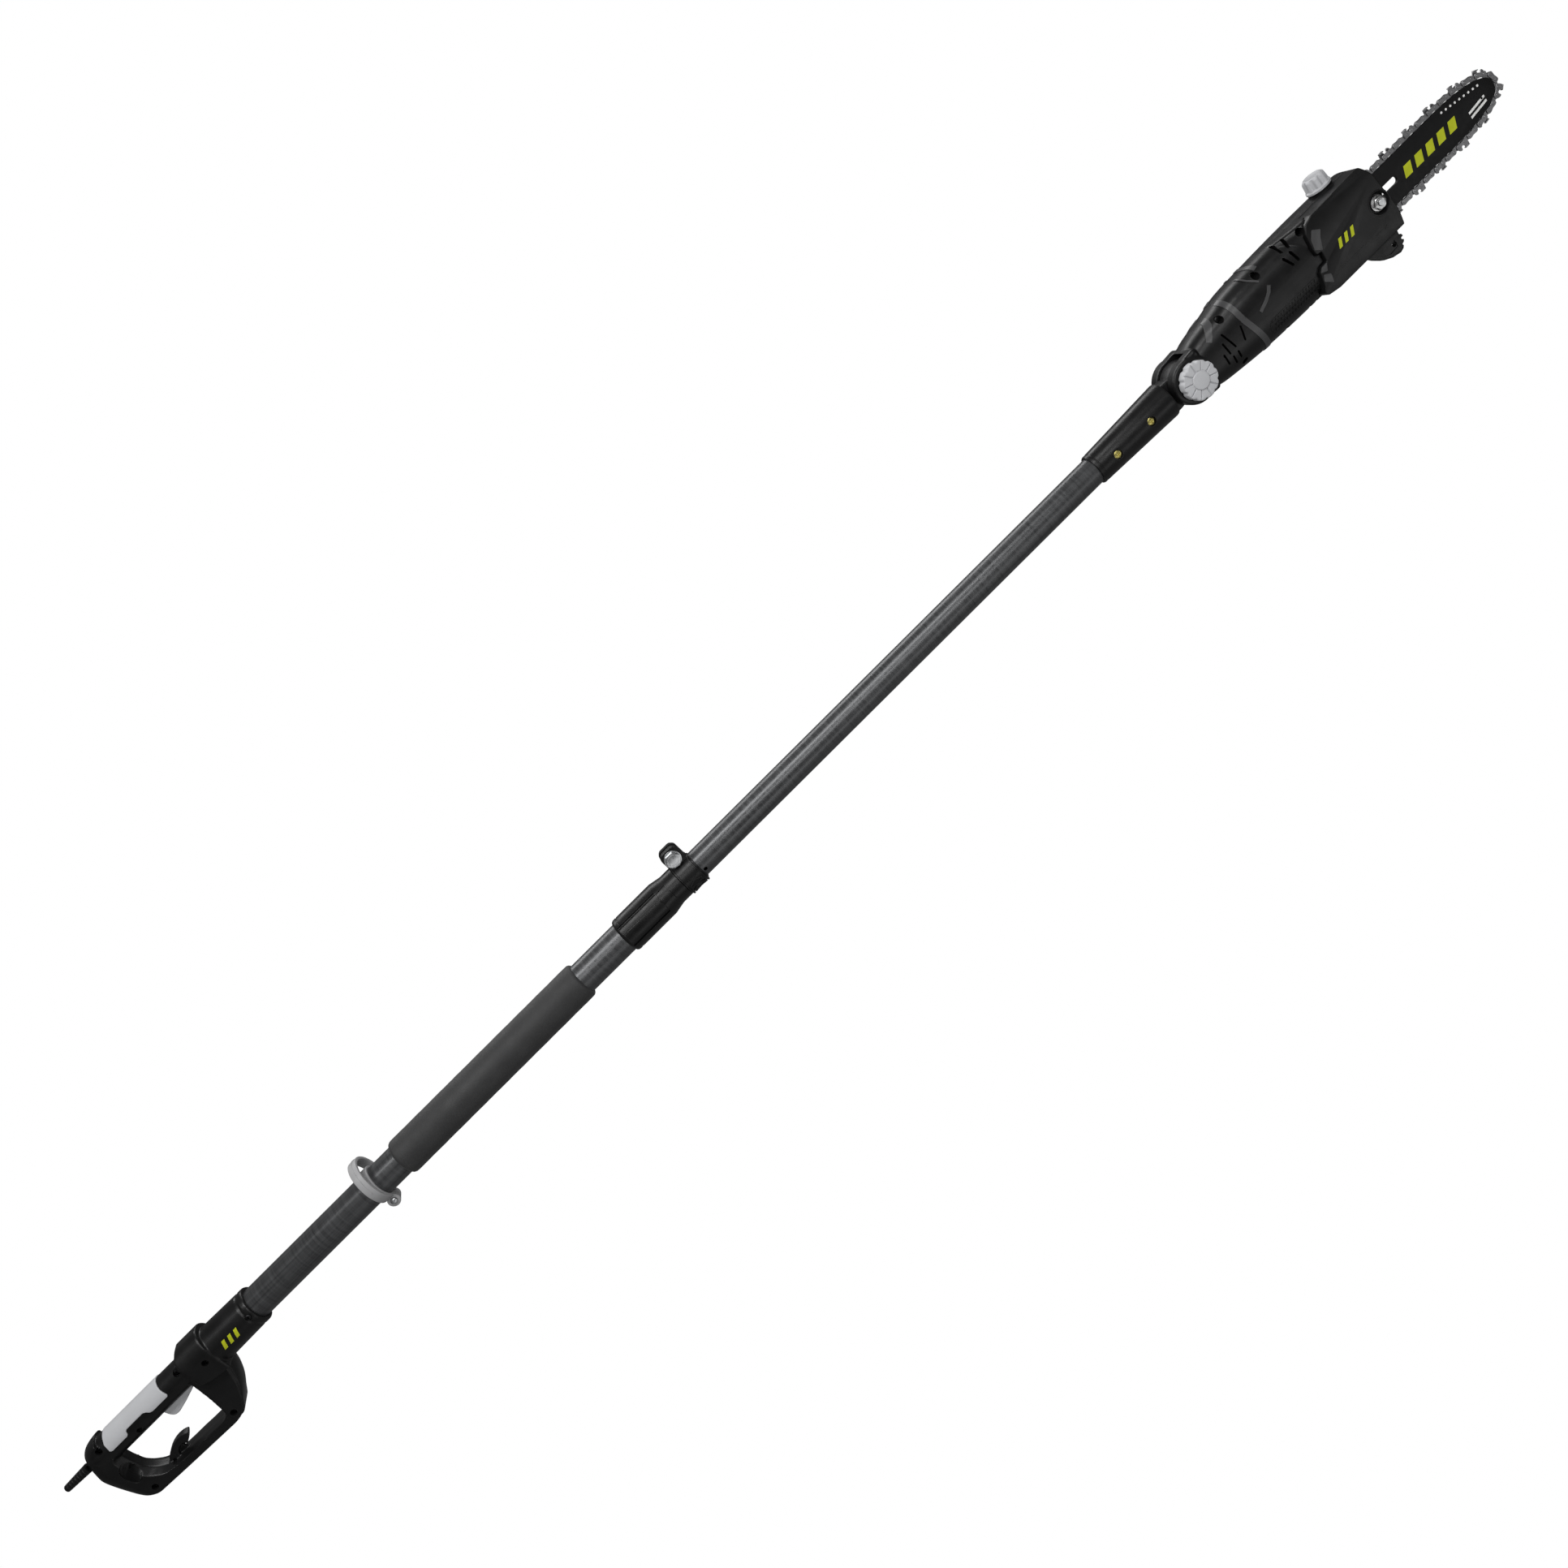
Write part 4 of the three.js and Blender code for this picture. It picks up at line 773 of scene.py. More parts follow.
def handle():
    right, left = halves(handle_body(), "handle_right", "handle_left")
    shown(right, "black_plastic", "handle", replaces=["handle_shell_right"])
    shown(left, "black_plastic", "handle", replaces=["handle_shell_left"])
    panel = insert_room(0)
    panel.name = "grip_panel"
    remeshed(panel, 0.6, 4)
    shown(panel, "grey_plastic", "handle", replaces=["grip_insert"])

    for i in range(len(HANDLE_SCREWS)):
        cross_screw(f"handle_screw_{i + 1}", "handle", "black_steel")
    cross_screw("tube_screw", "handle", "black_steel")

    low, high = cad("strain_relief")
    profile = [(low.x + 1.6, 3.2), (low.x, 3.6), (low.x, 4.2), (low.x + 0.8, 4.75)]
    for i in range(7):
        x = low.x + 5 + 4.6 * i
        r = 4.85 + 0.043 * (x - low.x)
        profile += [(x, r), (x + 0.5, r - 0.45), (x + 1.4, r - 0.45), (x + 1.9, r + 0.05)]
    profile += [(high.x, 6.5), (high.x, 3.2)]
    relief = turned("lead_sleeve", profile, 48, at=(0, 2), closed=True)
    shown(relief, "black_plastic", "handle", replaces=["strain_relief"])

    outline = [
        (-1088, -4), (-1089, -14), (-1086.5, -23), (-1083, -27.6), (-1077, -28.5), (-1060, -24),
        (-1042, -18),
        (-1031, -14), (-1030.5, -7), (-1040, -7.5), (-1060, -3.5),
    ]
    lever = softened(plate("trigger_lever", rounded(outline, 3), -6.5, 6.5), 1.6)
    cut(lever, rod("pin_hole", -20, 20, 2.3, (-1034, -10)))
    for i in range(4):
        cut(lever, rod("groove", -20, 20, 0.55, (-1078 + 6.5 * i, -28.6 + 1.75 * i), 16))
    shown(lever, "grey_plastic", "trigger", replaces=["trigger"])

    low, high = cad("lock_off_button")
    r = (high.x - low.x) / 2
    centre = ((low.x + high.x) / 2, (low.z + high.z) / 2)
    button = softened(rod("safety_button", low.y, high.y, r, centre), 1.0)
    for i in (-1, 0, 1):
        middle = centre[0] + 3 * i
        cut(button, bar("groove", (middle - 0.5, middle + 0.5), (high.y - 0.7, high.y + 1), (-20, 20)))
    shown(button, "grey_plastic", "lock_off_button", replaces=["lock_off_button"])


# ------------------------------------------------------------------ pole
LOWER_R, LOWER_BORE = 20.75, 18.75
UPPER_R, UPPER_BORE = 18.15, 16.4


def poles():
    for node, name, body, r, bore, hole_r, place in (
        ("lower_tube", "lower_pole_tube", "handle", LOWER_R, LOWER_BORE, 1.9, TUBE_SCREW[:2]),
        ("upper_tube", "upper_pole_tube", "upper_pole", UPPER_R, UPPER_BORE, 2.6, (-141, -5.5)),
    ):
        low, high = cad(node)
        tube = turned(name, ring_profile(low.x, high.x, r, bore, 0.5), 128, closed=True)
        cut(tube, rod("side_hole", -40, -10, hole_r, place))
        shown(tube, "tube", body, replaces=[node])


def foam_grip():
    """Foam sleeve pushed on the tube: rounded ends, faintly uneven along its length."""
    low, high = cad("foam_grip")
    r, bore = (high.y - low.y) / 2, LOWER_R + 0.3
    end = [(3.6, r - 0.35), (1.8, r - 1.2), (0.6, r - 2.6), (0, r - 4.2), (1.2, bore)]
    rows = [(low.x + back, reach) for back, reach in reversed(end)]
    steps = 60
    for i in range(steps + 1):
        x = low.x + 6 + (high.x - low.x - 12) * i / steps
        rows.append((x, r - 0.12 + 0.07 * sin(i * 0.9) + 0.05 * sin(i * 2.3)))
    rows += [(high.x - back, reach) for back, reach in end]
    sleeve = turned("foam_sleeve", rows, 96, closed=True)
    shown(sleeve, "foam", "handle", replaces=["foam_grip"], angle=radians(60))


def strap_ring():
    """Split collar with an arch over it for a strap's hook, and bolted ears below."""
    x, width, r, arch_r, arch_wall, arch_z, bolt_z = -704, 13, 24, 32.5, 4.5, 8.5, -29
    x0, x1 = x - width / 2, x + width / 2
    collar = turned("strap_collar", [(x0, r - 0.9), (x0 + 0.9, r), (x1 - 0.9, r), (x1, r - 0.9)])
    arch = slab("arch", circle(arch_r, (0, arch_z), 96), x0, x1)
    opening = slab("arch_inside", circle(arch_r - arch_wall, (0, arch_z), 96), x0 - 1, x1 + 1)
    combined(arch, "DIFFERENCE", [opening], "EXACT")
    softened(arch, 1.1)
    rib_profile = [(x - 1.2, 27.6), (x - 1.2, 33.0), (x + 1.2, 33.0), (x + 1.2, 27.6)]
    rib = turned("arch_rib", rib_profile, 96, at=(0, arch_z), closed=True)
    cut(rib, bar("below", (x0, x1), THROUGH, (-60, 6)))
    ears = softened(rod("ears", -9, 9, 8.5, (x, bolt_z), 48), 1)
    neck = softened(bar("neck", (x0, x1), (-9, 9), (bolt_z, -15)), 0.8, 2)
    ring = join(collar, arch, rib, ears, neck)
    common(ring, bar("width", (x - 8.5, x + 8.5), THROUGH, THROUGH))
    cut(
        ring,
        turned("tube_room", [(x0 - 5, LOWER_R + 0.3), (x1 + 5, LOWER_R + 0.3)], 96),
        bar("gap", (x0 - 5, x1 + 5), (-1.6, 1.6), (-60, -15)),
        rod("bolt_hole", -20, 20, 2.8, (x, bolt_z)),
        rod("bolt_seat", -20, -8.2, 4.8, (x, bolt_z)),
    )
    shown(ring, "ring_plastic", "handle", replaces=["strap_ring"])
    cross_screw("strap_ring_screw", "handle", "zinc", head=4.2, shank=2.5, height=2.7)


def lock_sleeve():
    """Sleeve on the lower tube whose slit neck the clamp squeezes on the upper tube."""
    rear, shoulder, neck, front, r, neck_r, clamp_r = -272, -205, -190, -145, 24.5, 21.5, 20
    profile = [
        (rear, r - 3), (rear + 0.6, r - 1.7), (rear + 1.8, r - 0.7), (rear + 4, r), (rear + 7, r),
        (rear + 7.6, r - 0.5), (rear + 8.6, r - 0.5), (rear + 9.2, r), (shoulder - 1, r),
        (shoulder + 0.6, r - 0.3), (neck - 1, neck_r + 0.2), (neck + 1, neck_r), (-174, neck_r),
        (-173.5, clamp_r), (front - 0.6, clamp_r), (front, clamp_r - 0.6),
    ]
    sleeve = turned("locking_sleeve", profile, 128)
    strip = turned("strip", [(rear + 5, r + 0.7), (shoulder - 2.5, r + 0.7), (shoulder - 1.5, r)], 128)
    common(strip, bar("strip_width", EVERYWHERE, (-60, 0), (-6, 9)))
    neck_line = [(neck - 1, neck_r + 0.2), (neck, neck_r + 0.9), (-174, neck_r + 0.9)]
    neck_strip = turned("neck_strip", neck_line, 128)
    common(neck_strip, bar("strip_width", EVERYWHERE, (-60, 0), (-5, 9)))
    join(sleeve, softened(strip, 0.3, 2, 50), neck_strip)
    groove_floor = turned("floor", [(rear - 1, r - 1.6), (shoulder - 1, r - 1.6), (neck, neck_r - 1.2)], 128)
    for z0, z1, x1 in ((10.2, 17.5, shoulder - 2), (18.6, 19.6, shoulder - 2), (-10.5, -7.4, shoulder - 2)):
        groove = bar("groove", (rear + 3, x1), (-60, 0), (z0, z1))
        cut(groove, copy_of(groove_floor, "floor"))
        cut(sleeve, groove)
    shadow = bar("recess", (shoulder - 1.5, neck - 1.5), (-60, 0), (1, 17))
    cut(shadow, groove_floor)
    cut(sleeve, shadow)
    cut(
        sleeve,
        turned("lower_room", [(rear - 1, LOWER_R + 0.3), (-195.7, LOWER_R + 0.3)], 128),
        turned("upper_room", [(-200, UPPER_R + 0.3), (front + 1, UPPER_R + 0.3)], 128),
        bar("slit", (neck + 6, front + 1), (-1, 1), (10, 40)),
    )
    shown(sleeve, "black_plastic", "handle", replaces=["lock_sleeve"])


def clamp():
    rear, front, r, flange_r, ear_top, ear_in, ear_out = -173, -147, 22, 23.6, 44, 2.5, 10
    bolt_x, bolt_z = -161, 31
    middle = (rear + front) / 2
    band = turned(
        "clamp_ring",
        [
            (rear, flange_r - 0.4), (rear + 0.5, flange_r), (rear + 1.6, flange_r), (rear + 2, r),
            (front - 2, r),
            (front - 1.6, flange_r), (front - 0.5, flange_r), (front, flange_r - 0.4),
        ],
        96,
    )
    profile = [
        (rear, 12), (rear, ear_top - 5), (rear + 5, ear_top), (front - 5, ear_top), (front, ear_top - 5),
        (front, 12),
    ]
    ears = softened(plate("ears", rounded(profile, 2.5), -ear_out, ear_out), 1)
    join(band, ears)
    ribs = 7
    for i in range(ribs):
        turn = radians(188 + 24 * i)
        for side in (-1, 1):
            y, z = (r - 0.6) * cos(turn), (r - 0.6) * sin(turn)
            rib = bar("rib", (rear + 2.5, front - 2.5), (-0.6, 0.6), (-1.3, 1.3))
            spin = Matrix.Rotation(turn - pi / 2, 4, "X") @ Matrix.Rotation(side * radians(24), 4, "Z")
            rib.data.transform(Matrix.Translation(-Vector((middle, 0, 0)) * MM))
            rib.data.transform(Matrix.Translation(Vector((middle, y, z)) * MM) @ spin)
            join(band, rib)
    cut(
        band,
        turned("neck_room", [(rear - 1, 20.3), (front + 1, 20.3)], 96),
        bar("gap", (rear - 1, front + 1), (-ear_in, ear_in), (10, ear_top + 1)),
        rod("bolt_hole", -20, 20, 4.3, (bolt_x, bolt_z)),
    )
    shown(band, "black_plastic", "handle", replaces=["clamp_band"])

    low, high = cad("clamp_bolt")
    face = low.y
    head = plate("hex_bolt", circle(10.4, (bolt_x, bolt_z), 6), face + 0.4, -ear_out - 0.3)
    softened(head, 0.5, 2, 40)
    dome = stepped("dome", ((face, 4.6), (face + 0.3, 6.4), (face + 1.4, 7.4)), (bolt_x, bolt_z))
    washer = rod("washer", -ear_out - 1.6, -ear_out - 0.3, 11.2, (bolt_x, bolt_z))
    join(head, dome, softened(washer, 0.3, 2), rod("shank", -ear_out - 1, high.y, 4, (bolt_x, bolt_z)))
    cut(head, pin("pin_hole", -200, -100, 2.75, (17, bolt_z)))
    shown(head, "zinc", "handle", replaces=["clamp_bolt"])

    outline = [
        (10.6, 31), (11.5, 35), (14.5, 37.4), (18, 37.4), (22, 35), (27, 30), (31, 21), (33.3, 8), (33, -8),
        (30.5, -18), (28.5, -20.5), (26.3, -18.5), (27, -12), (28.6, -2), (28.2, 9), (25, 17), (20.5, 23.5),
        (15, 24.6), (11.6, 27),
    ]
    lever = softened(slab("cam_lever", smooth_line(outline, 3), rear + 2, front - 2), 1.1)
    cut(
        lever,
        pin("pin_hole", -200, -100, 2.75, (17, bolt_z)),
        bar("bolt_room", (bolt_x - 5, bolt_x + 5), (0, 24), (22, 60)),
    )
    for i in range(3):
        cut(lever, pin("thumb_groove", rear + 1, front - 1, 0.7, (33.7 - 0.25 * i * i, -3 - 4.5 * i), 16))
    shown(lever, "black_plastic", "clamp_lever", replaces=["clamp_lever"])


# ------------------------------------------------------------------ head bracket and tilt clamp
PIVOT_X = 700
BRACKET_SCREWS = (572.5, 629.5)


def head_bracket():
    rear, front, r_rear, r_front = 543, 668, 21, 25
    socket = turned(
        "bracket_socket",
        [
            (rear, r_rear - 1.6), (rear + 0.4, r_rear - 0.6), (rear + 1.6, r_rear),
            (rear + 4, r_rear + 0.1),
            (rear + 4.6, r_rear - 0.3), (rear + 5.6, r_rear - 0.3), (rear + 6.2, r_rear + 0.2),
            (front - 3, r_front), (front - 0.8, r_front - 0.5), (front, r_front - 2.4),
        ],
        128,
    )
    neck = [
        (front - 14, 21), (PIVOT_X - 24, 20), (PIVOT_X - 12, 18), (PIVOT_X, 14), (PIVOT_X, -14),
        (PIVOT_X - 12, -18), (PIVOT_X - 24, -20), (front - 14, -21),
    ]
    tongue = softened(plate("tongue", neck, -12, 12), 2)
    disc = softened(rod("disc", -12, 12, 26.5, (PIVOT_X, 0), 96), 1.2)
    join(socket, tongue, disc)
    for i, turn in enumerate((152, 166, 180, 194, 208)):
        a = radians(turn)
        ridge = rod("ridge", -11, 11, 1.4, (PIVOT_X + 26 * cos(a), 26 * sin(a)), 24)
        join(socket, ridge)
    for x in BRACKET_SCREWS:
        boss = rod("boss", -22.3, -15, 7.6, (x, 0), 64)
        join(socket, softened(boss, 0.6, 2))
    for x in BRACKET_SCREWS:
        cut(socket, rod("recess", -40, -19.6, 6, (x, 0)), rod("hole", -40, 0, 2.8, (x, 0)))
    cut(
        socket,
        turned("tube_room", [(rear - 1, UPPER_R + 0.3), (640.3, UPPER_R + 0.3)], 128),
        turned("lead_way", [(636, 8), (673, 8)]),
        rod("bolt_hole", -40, 40, 5.15, (PIVOT_X, 0)),
    )
    shown(socket, "black_plastic", "upper_pole", replaces=["head_bracket"])
    for i in (1, 2):
        cross_screw(f"bracket_screw_{i}", "upper_pole", "yellow_zinc", head=5, shank=2.5, height=1.9)


def tilt_knob():
    """Ten-lobed clamping knob with radial grooves and a raised cap in the middle."""
    low, high = cad("tilt_knob")
    face, back, r, lobes = low.y, high.y, (high.x - low.x) / 2, 10
    outline = [(PIVOT_X + u, v) for u, v in fluted(r, 1.5, lobes, 10, 200)]
    knob = softened(plate("clamp_knob", outline, face + 1.2, back), 2.2, 4)
    to_pivot = Matrix.Translation(Vector((PIVOT_X, 0, 0)) * MM)
    for i in range(lobes):
        turn = pi / lobes * (2 * i + 1)
        sections = [[(x, face - 1, -2.7), (x, face - 1, 2.7), (x, face + 2.9, 0)] for x in (11.5, 30)]
        groove = lofted("groove", sections)
        groove.data.transform(to_pivot @ Matrix.Rotation(-turn, 4, "Y"))
        cut(knob, groove)
    levels = ((face, 9.2), (face + 0.25, 10.6), (face + 0.9, 11.3), (face + 3, 11.6))
    cap = stepped("cap", levels, (PIVOT_X, 0), 72)
    ring = rod("ring", face - 1, face + 1.7, 12.4, (PIVOT_X, 0), 72)
    cut(knob, ring)
    join(knob, cap)
    cut(knob, rod("bore", face + 2.5, back + 1, 5.15, (PIVOT_X, 0)))
    shown(knob, "grey_plastic", "tilt_knob", replaces=["tilt_knob"])


# ------------------------------------------------------------------ motor housing
HOUSING_STATIONS = [
    # x, half the width, top, bottom
    (718, 29, 30.5, -30.5), (735, 31, 36, -35.5), (770, 34, 42, -39.5), (800, 36, 48, -42),
    (850, 37, 50, -44),
    (905, 37, 51, -45), (950, 35, 51, -44.5), (1000, 33, 50, -43), (1014, 31, 46, -40), (1022, 27, 38, -35),
]
HOUSING_SCREWS = [(769, 33, -20), (835.5, 40.5, -16), (906, 43.5, -14)]
POCKET_FLOOR = -16
COVER_OUTLINE = [
    (925, 50), (913.5, 46.5), (906.8, 36.3), (904.2, 17), (905, 8.7), (912, 7.3), (910.6, -6),
    (901.8, -6.4),
    (895.8, -11.6), (891, -28.7), (887, -34.7), (890, -39.5), (907, -42.6), (1016.7, -42.4), (1020, -27.3),
    (1020.5, -16.8), (1016, 32.9), (1012.9, 40.1), (1006, 50.8),
]
DRIVE_X = 945
STUD_X = 1004


def oval(station, inset=0, points=72):
    """Squarish oval section of the housing, shrunk by inset."""
    x, half_width, top, bottom = station
    centre, half = (top + bottom) / 2, (top - bottom) / 2 - inset
    line = squarish(2 / 2.7, points)
    return [(x, (half_width - inset) * u, centre + half * v) for u, v in line]


def housing_skin(inset, stations=None):
    line = smooth_line(stations or HOUSING_STATIONS, 4, closed=False)
    return lofted("skin", [oval(station, inset) for station in line])


def on_skin(outline, proud, depth=2):
    """Two raised pads with that outline in X and Z, standing proud of the housing's sides."""
    pads = []
    for span in ((-60, -8), (8, 60)):
        pad = plate("pad", outline, *span)
        common(pad, housing_skin(-proud))
        pads.append(cut(pad, housing_skin(depth)))
    return pads


def slot_cut(x0, z0, x1, z1, width):
    """A round-ended slot through the housing's side walls."""
    way = Vector((x1 - x0, z1 - z0)).normalized()
    across = Vector((-way.y, way.x)) * width / 2
    outline = []
    for (x, z), start in (((x1, z1), 0), ((x0, z0), pi)):
        base = atan2(-across.y, -across.x)
        for i in range(9):
            turn = base + start + pi * i / 8
            outline.append((x + width / 2 * cos(turn), z + width / 2 * sin(turn)))
    return plate("slot", outline, *THROUGH)


def cover_shoulder():
    """The right side of the housing, flared out to meet the rear and top edges of the cover."""
    stations = [(878, 24), (890, 30), (903, 36), (915, 39.5), (927, 41), (1000, 41.2), (1006, 40)]
    sections = []
    line = squarish(0.45, 48)
    for x, reach in smooth_line(stations, 4, closed=False):
        sections.append([(x, reach / 2 * (u - 1), 29 + 21.6 * v) for u, v in line])
    return lofted("shoulder", sections)


def housing_body():
    skin = housing_skin(0)
    cheeks = softened(rod("cheeks", -30, 30, 29, (PIVOT_X, 0), 96), 3, 4)
    root = softened(plate("root", [(PIVOT_X, 29), (724, 31), (724, -31), (PIVOT_X, -29)], -29, 29), 5, 4)
    join(skin, cheeks, root, cover_shoulder())
    ends = [(745, 31.5, 38, -37)] + [s for s in HOUSING_STATIONS if 740 < s[0] < 1020]
    hollow = housing_skin(3, ends)
    pocket = plate("pocket", offset(COVER_OUTLINE, 0.5), -80, POCKET_FLOOR)
    behind = plate("behind", offset(COVER_OUTLINE, 3.5), -80, POCKET_FLOOR + 3)
    cut(hollow, behind, bar("front_wall", (1000, 1060), (-80, POCKET_FLOOR + 3), EVERYWHERE))
    cut(skin, hollow, pocket, bar("front_pocket", (1000, 1060), (-80, POCKET_FLOOR), EVERYWHERE))
    tongue_room = rod("tongue_room", -13, 13, 33, (PIVOT_X, 0), 96)
    cut(skin, tongue_room, bar("tongue_way", (PIVOT_X - 60, PIVOT_X), (-13, 13), THROUGH))
    return remeshed(skin, 0.95, 3)


def motor_housing():
    whole = housing_body()
    arc = [(784, 49), (786, 43), (787, 35), (788.6, 15), (794, -6), (799, -26), (802, -44)]
    strips = [
        (smooth_line(arc, 4, closed=False), 7.5),
        ([(761, 43), (757, 37), (750, 31), (741, 22)], 6.5),
        ([(820, 51), (822, 47), (824, 43), (832.5, 34)], 2.2),
        ([(811, 6), (824, 11.5), (833, 17), (838, 23)], 4.2),
    ]
    pads = [pad for line, width in strips for pad in on_skin(band(line, width), 0.8)]
    chevron = band([(838, 14), (839, 0), (843, -22)], 6.5)
    pad = lofted("chevron", [[(x, y, z) for x, y in chevron] for z in (30, 70)])
    common(pad, housing_skin(-0.8))
    pads.append(cut(pad, housing_skin(2)))
    # the raised bands take the lighter plastic, whose colour is a painted sheen
    shown(merged("housing_bands", pads), "painted_sheen_plastic", "saw_head")
    grip = [(810, -19), (815, -12), (891, -11.5), (895, -17), (893, -29), (812, -29)]
    join(whole, *on_skin(rounded(grip, 3), 0.6))
    dots = []
    for row in range(3):
        for i in range(16):
            place = (817 + 4.7 * i + (2.3 if row % 2 else 0), -15 - 5.5 * row)
            dots += on_skin(circle(1.5, place, 10), 1.5, 1)
    join(whole, merged("studs", dots))
    vents = [
        # x and z of both ends, width
        (745.5, -2.5, 745.5, -15.5, 2.7), (752, 9, 753, -6, 2.7), (754.5, -12, 754.5, -21, 2.7),
        (758, 18.5, 763, -4, 2.7), (762.5, -11, 762.5, -19.5, 2.7), (781.5, 10.5, 777, -6, 2.7),
        (877, 48, 876.6, 38.5, 3.6), (872.5, 32, 877, 19.5, 3.6), (888, 48, 887.3, 38.5, 4.0),
        (884.2, 32, 885.9, 19.5, 4.0), (763, -28.5, 767, -27.5, 4.6),
    ]
    slots = [slot_cut(*vent) for vent in vents]
    under = [bar("under_vent", (x, x + 6.5), (-25, -12), (-60, -36)) for x in (832, 871, 882)]
    groove = plate("grip_groove", band([(813, -28.7), (892, -28.7)], 0.9), *THROUGH)
    cut(groove, housing_skin(-0.1))
    recesses = [rod("recess", -60, seat, 5.0, (x, z)) for x, z, seat in HOUSING_SCREWS]
    posts = [rod("post", -24 if x < 900 else -12, 14, 5.6, (x, z), 32) for x, z, _ in HOUSING_SCREWS]
    inside = housing_skin(0.6)
    for post in posts:
        common(post, copy_of(inside, "inside"))
    bpy.data.objects.remove(inside)
    join(whole, *posts)
    shanks = [rod("shank", -60, 10.5, 1.9, (x, z)) for x, z, _ in HOUSING_SCREWS]
    rim, neck = pin("rim", -6, 0.5, 15.5), pin("neck", -30, 20, 11.3)
    for piece in (rim, neck):
        upright = Matrix.Rotation(radians(-90), 4, "Y")
        piece.data.transform(Matrix.Translation(Vector((976.3, 0, 53)) * MM) @ upright)
    join(whole, rim)
    cut(
        whole, *slots, *under, *recesses, *shanks, neck, groove,
        rod("bolt_hole", -60, 60, 5.3, (PIVOT_X, 0)),
        rod("shaft_hole", -40, 0, 7, (DRIVE_X, 0)),
        rod("stud_hole", -40, 0, 4.3, (STUD_X, 0)),
        pin("screw_hole", 990, 1060, 3.6, (-9, -21)),
        bar("pin_slot", (977, 994), (-30, -2), (-28, -14)),
    )
    right, left = halves(whole, "housing_right", "housing_left")
    shown(right, "black_plastic", "saw_head", replaces=["motor_housing_right"])
    shown(left, "black_plastic", "saw_head", replaces=["motor_housing_left"])
    for i in range(len(HOUSING_SCREWS)):
        cross_screw(f"housing_screw_{i + 1}", "saw_head", "black_steel")


# ------------------------------------------------------------------ sprocket cover, nut, cap and hook
def sprocket_cover():
    out, inn, wall = -42, -16.4, 3
    outline = rounded(COVER_OUTLINE, 1.6)
    cover = softened(plate("chain_cover", outline, out, inn), 1.6)
    inside = plate("inside", offset(COVER_OUTLINE, -wall), out + wall, inn + 1)
    mouth = bar("mouth", (1000, 1060), (out + wall, inn + 1), (-38.5, 38.5))
    cut(cover, inside, mouth)
    join(cover, bar("seat", (990, 1015), (out + 1, -22.9), (-15, 15)))
    rim = softened(rod("dish_rim", out - 0.5, out + 3, 15.8, (STUD_X, 0), 96), 0.4, 2)
    common(rim, bar("cover_part", (900, 1018.5), EVERYWHERE, EVERYWHERE))
    join(cover, rim)
    dish = stepped("dish", ((-60, 14.4), (out - 0.6, 14.4), (-36.5, 10.8)), (STUD_X, 0), 72)
    cut(cover, dish, rod("stud_hole", -60, 0, 4.3, (STUD_X, 0)))
    chamfer = [(-45, 46.3), (-42.5, 46.3), (-38, 52), (-38, 55), (-45, 55)]
    cut(cover, slab("top_chamfer", chamfer, 962, 1008))
    arrow = band([(978, -27.3), (992, -27.3)], 1.0)
    cut(cover, plate("line", band([(924, -24.7), (965, -24.7)], 0.8), out - 1, out + 0.35))
    head = [(991, -24.8), (998, -27.3), (991, -29.8)]
    cut(cover, plate("arrow", arrow, out - 1, out + 0.4), plate("arrow_head", head, out - 1, out + 0.4))
    shown(cover, "black_plastic", "saw_head", replaces=["sprocket_cover"])
    ramps = [
        [(905.5, 14.9), (914, 8.2), (920.3, 22.1), (925.8, 29.4), (915.8, 36.6), (908.4, 27.3)],
        [(893.6, -22.6), (903.5, -32), (906.4, -20.5), (897.8, -15.3)],
        [(896.6, -12), (901.6, -7), (909.5, -6.6), (904.5, -15.2)],
    ]
    pads = [softened(plate("ramp", rounded(line, 1.2), out - 0.5, out + 1), 0.4, 2) for line in ramps]
    # the ramps take the lighter plastic, whose colour is a painted sheen
    shown(merged("cover_ramps", pads), "painted_sheen_plastic", "saw_head")

    seat = -36.5
    flange = softened(rod("flange_nut", seat - 2.5, seat - 0.3, 9.5, (STUD_X, 0), 72), 0.5, 2)
    hexagon = softened(plate("hexagon", circle(8.6, (STUD_X, 0), 6), seat - 8.5, seat - 2), 0.6, 2, 40)
    bevel = stepped("bevel", ((seat - 8.5, 7.3), (seat - 7.4, 8.6), (seat, 8.8)), (STUD_X, 0))
    common(hexagon, bevel)
    join(flange, hexagon)
    cut(flange, rod("thread", -60, 0, 4.3, (STUD_X, 0)))
    shown(flange, "bright_steel", "saw_head", replaces=["bar_nut"])


def oil_cap():
    """Filler cap with wide flutes."""
    x, z, r, height, flutes = 976.3, 53, 16.5, 18, 8

    def ring(level, reach, depth):
        return [(u, v, level) for u, v in fluted(reach, depth, flutes, 3, 180)]

    levels = [
        (0.6, r - 0.6, 0), (1.1, r, 0), (3.4, r, 0), (4.0, r - 0.5, 1.2), (5.0, r - 1.0, 2.4),
        (height - 3.0, r - 1.9, 2.4), (height - 1.4, r - 2.6, 2.0), (height - 0.2, r - 4.0, 0.5),
        (height + 0.4, r - 5.4, 0), (height + 0.5, r - 6.4, 0),
        (height + 0.1, r - 7.2, 0), (height + 0.1, 0.4, 0),
    ]
    cap = lofted("filler_cap", [ring(*level) for level in levels])
    cut(cap, lofted("bore", [ring(level, 11.5, 0) for level in (-1, 8)]))
    cap.data.transform(Matrix.Translation(Vector((x, 0, z)) * MM))
    shown(cap, "grey_plastic", "oil_cap", replaces=["oil_cap"])


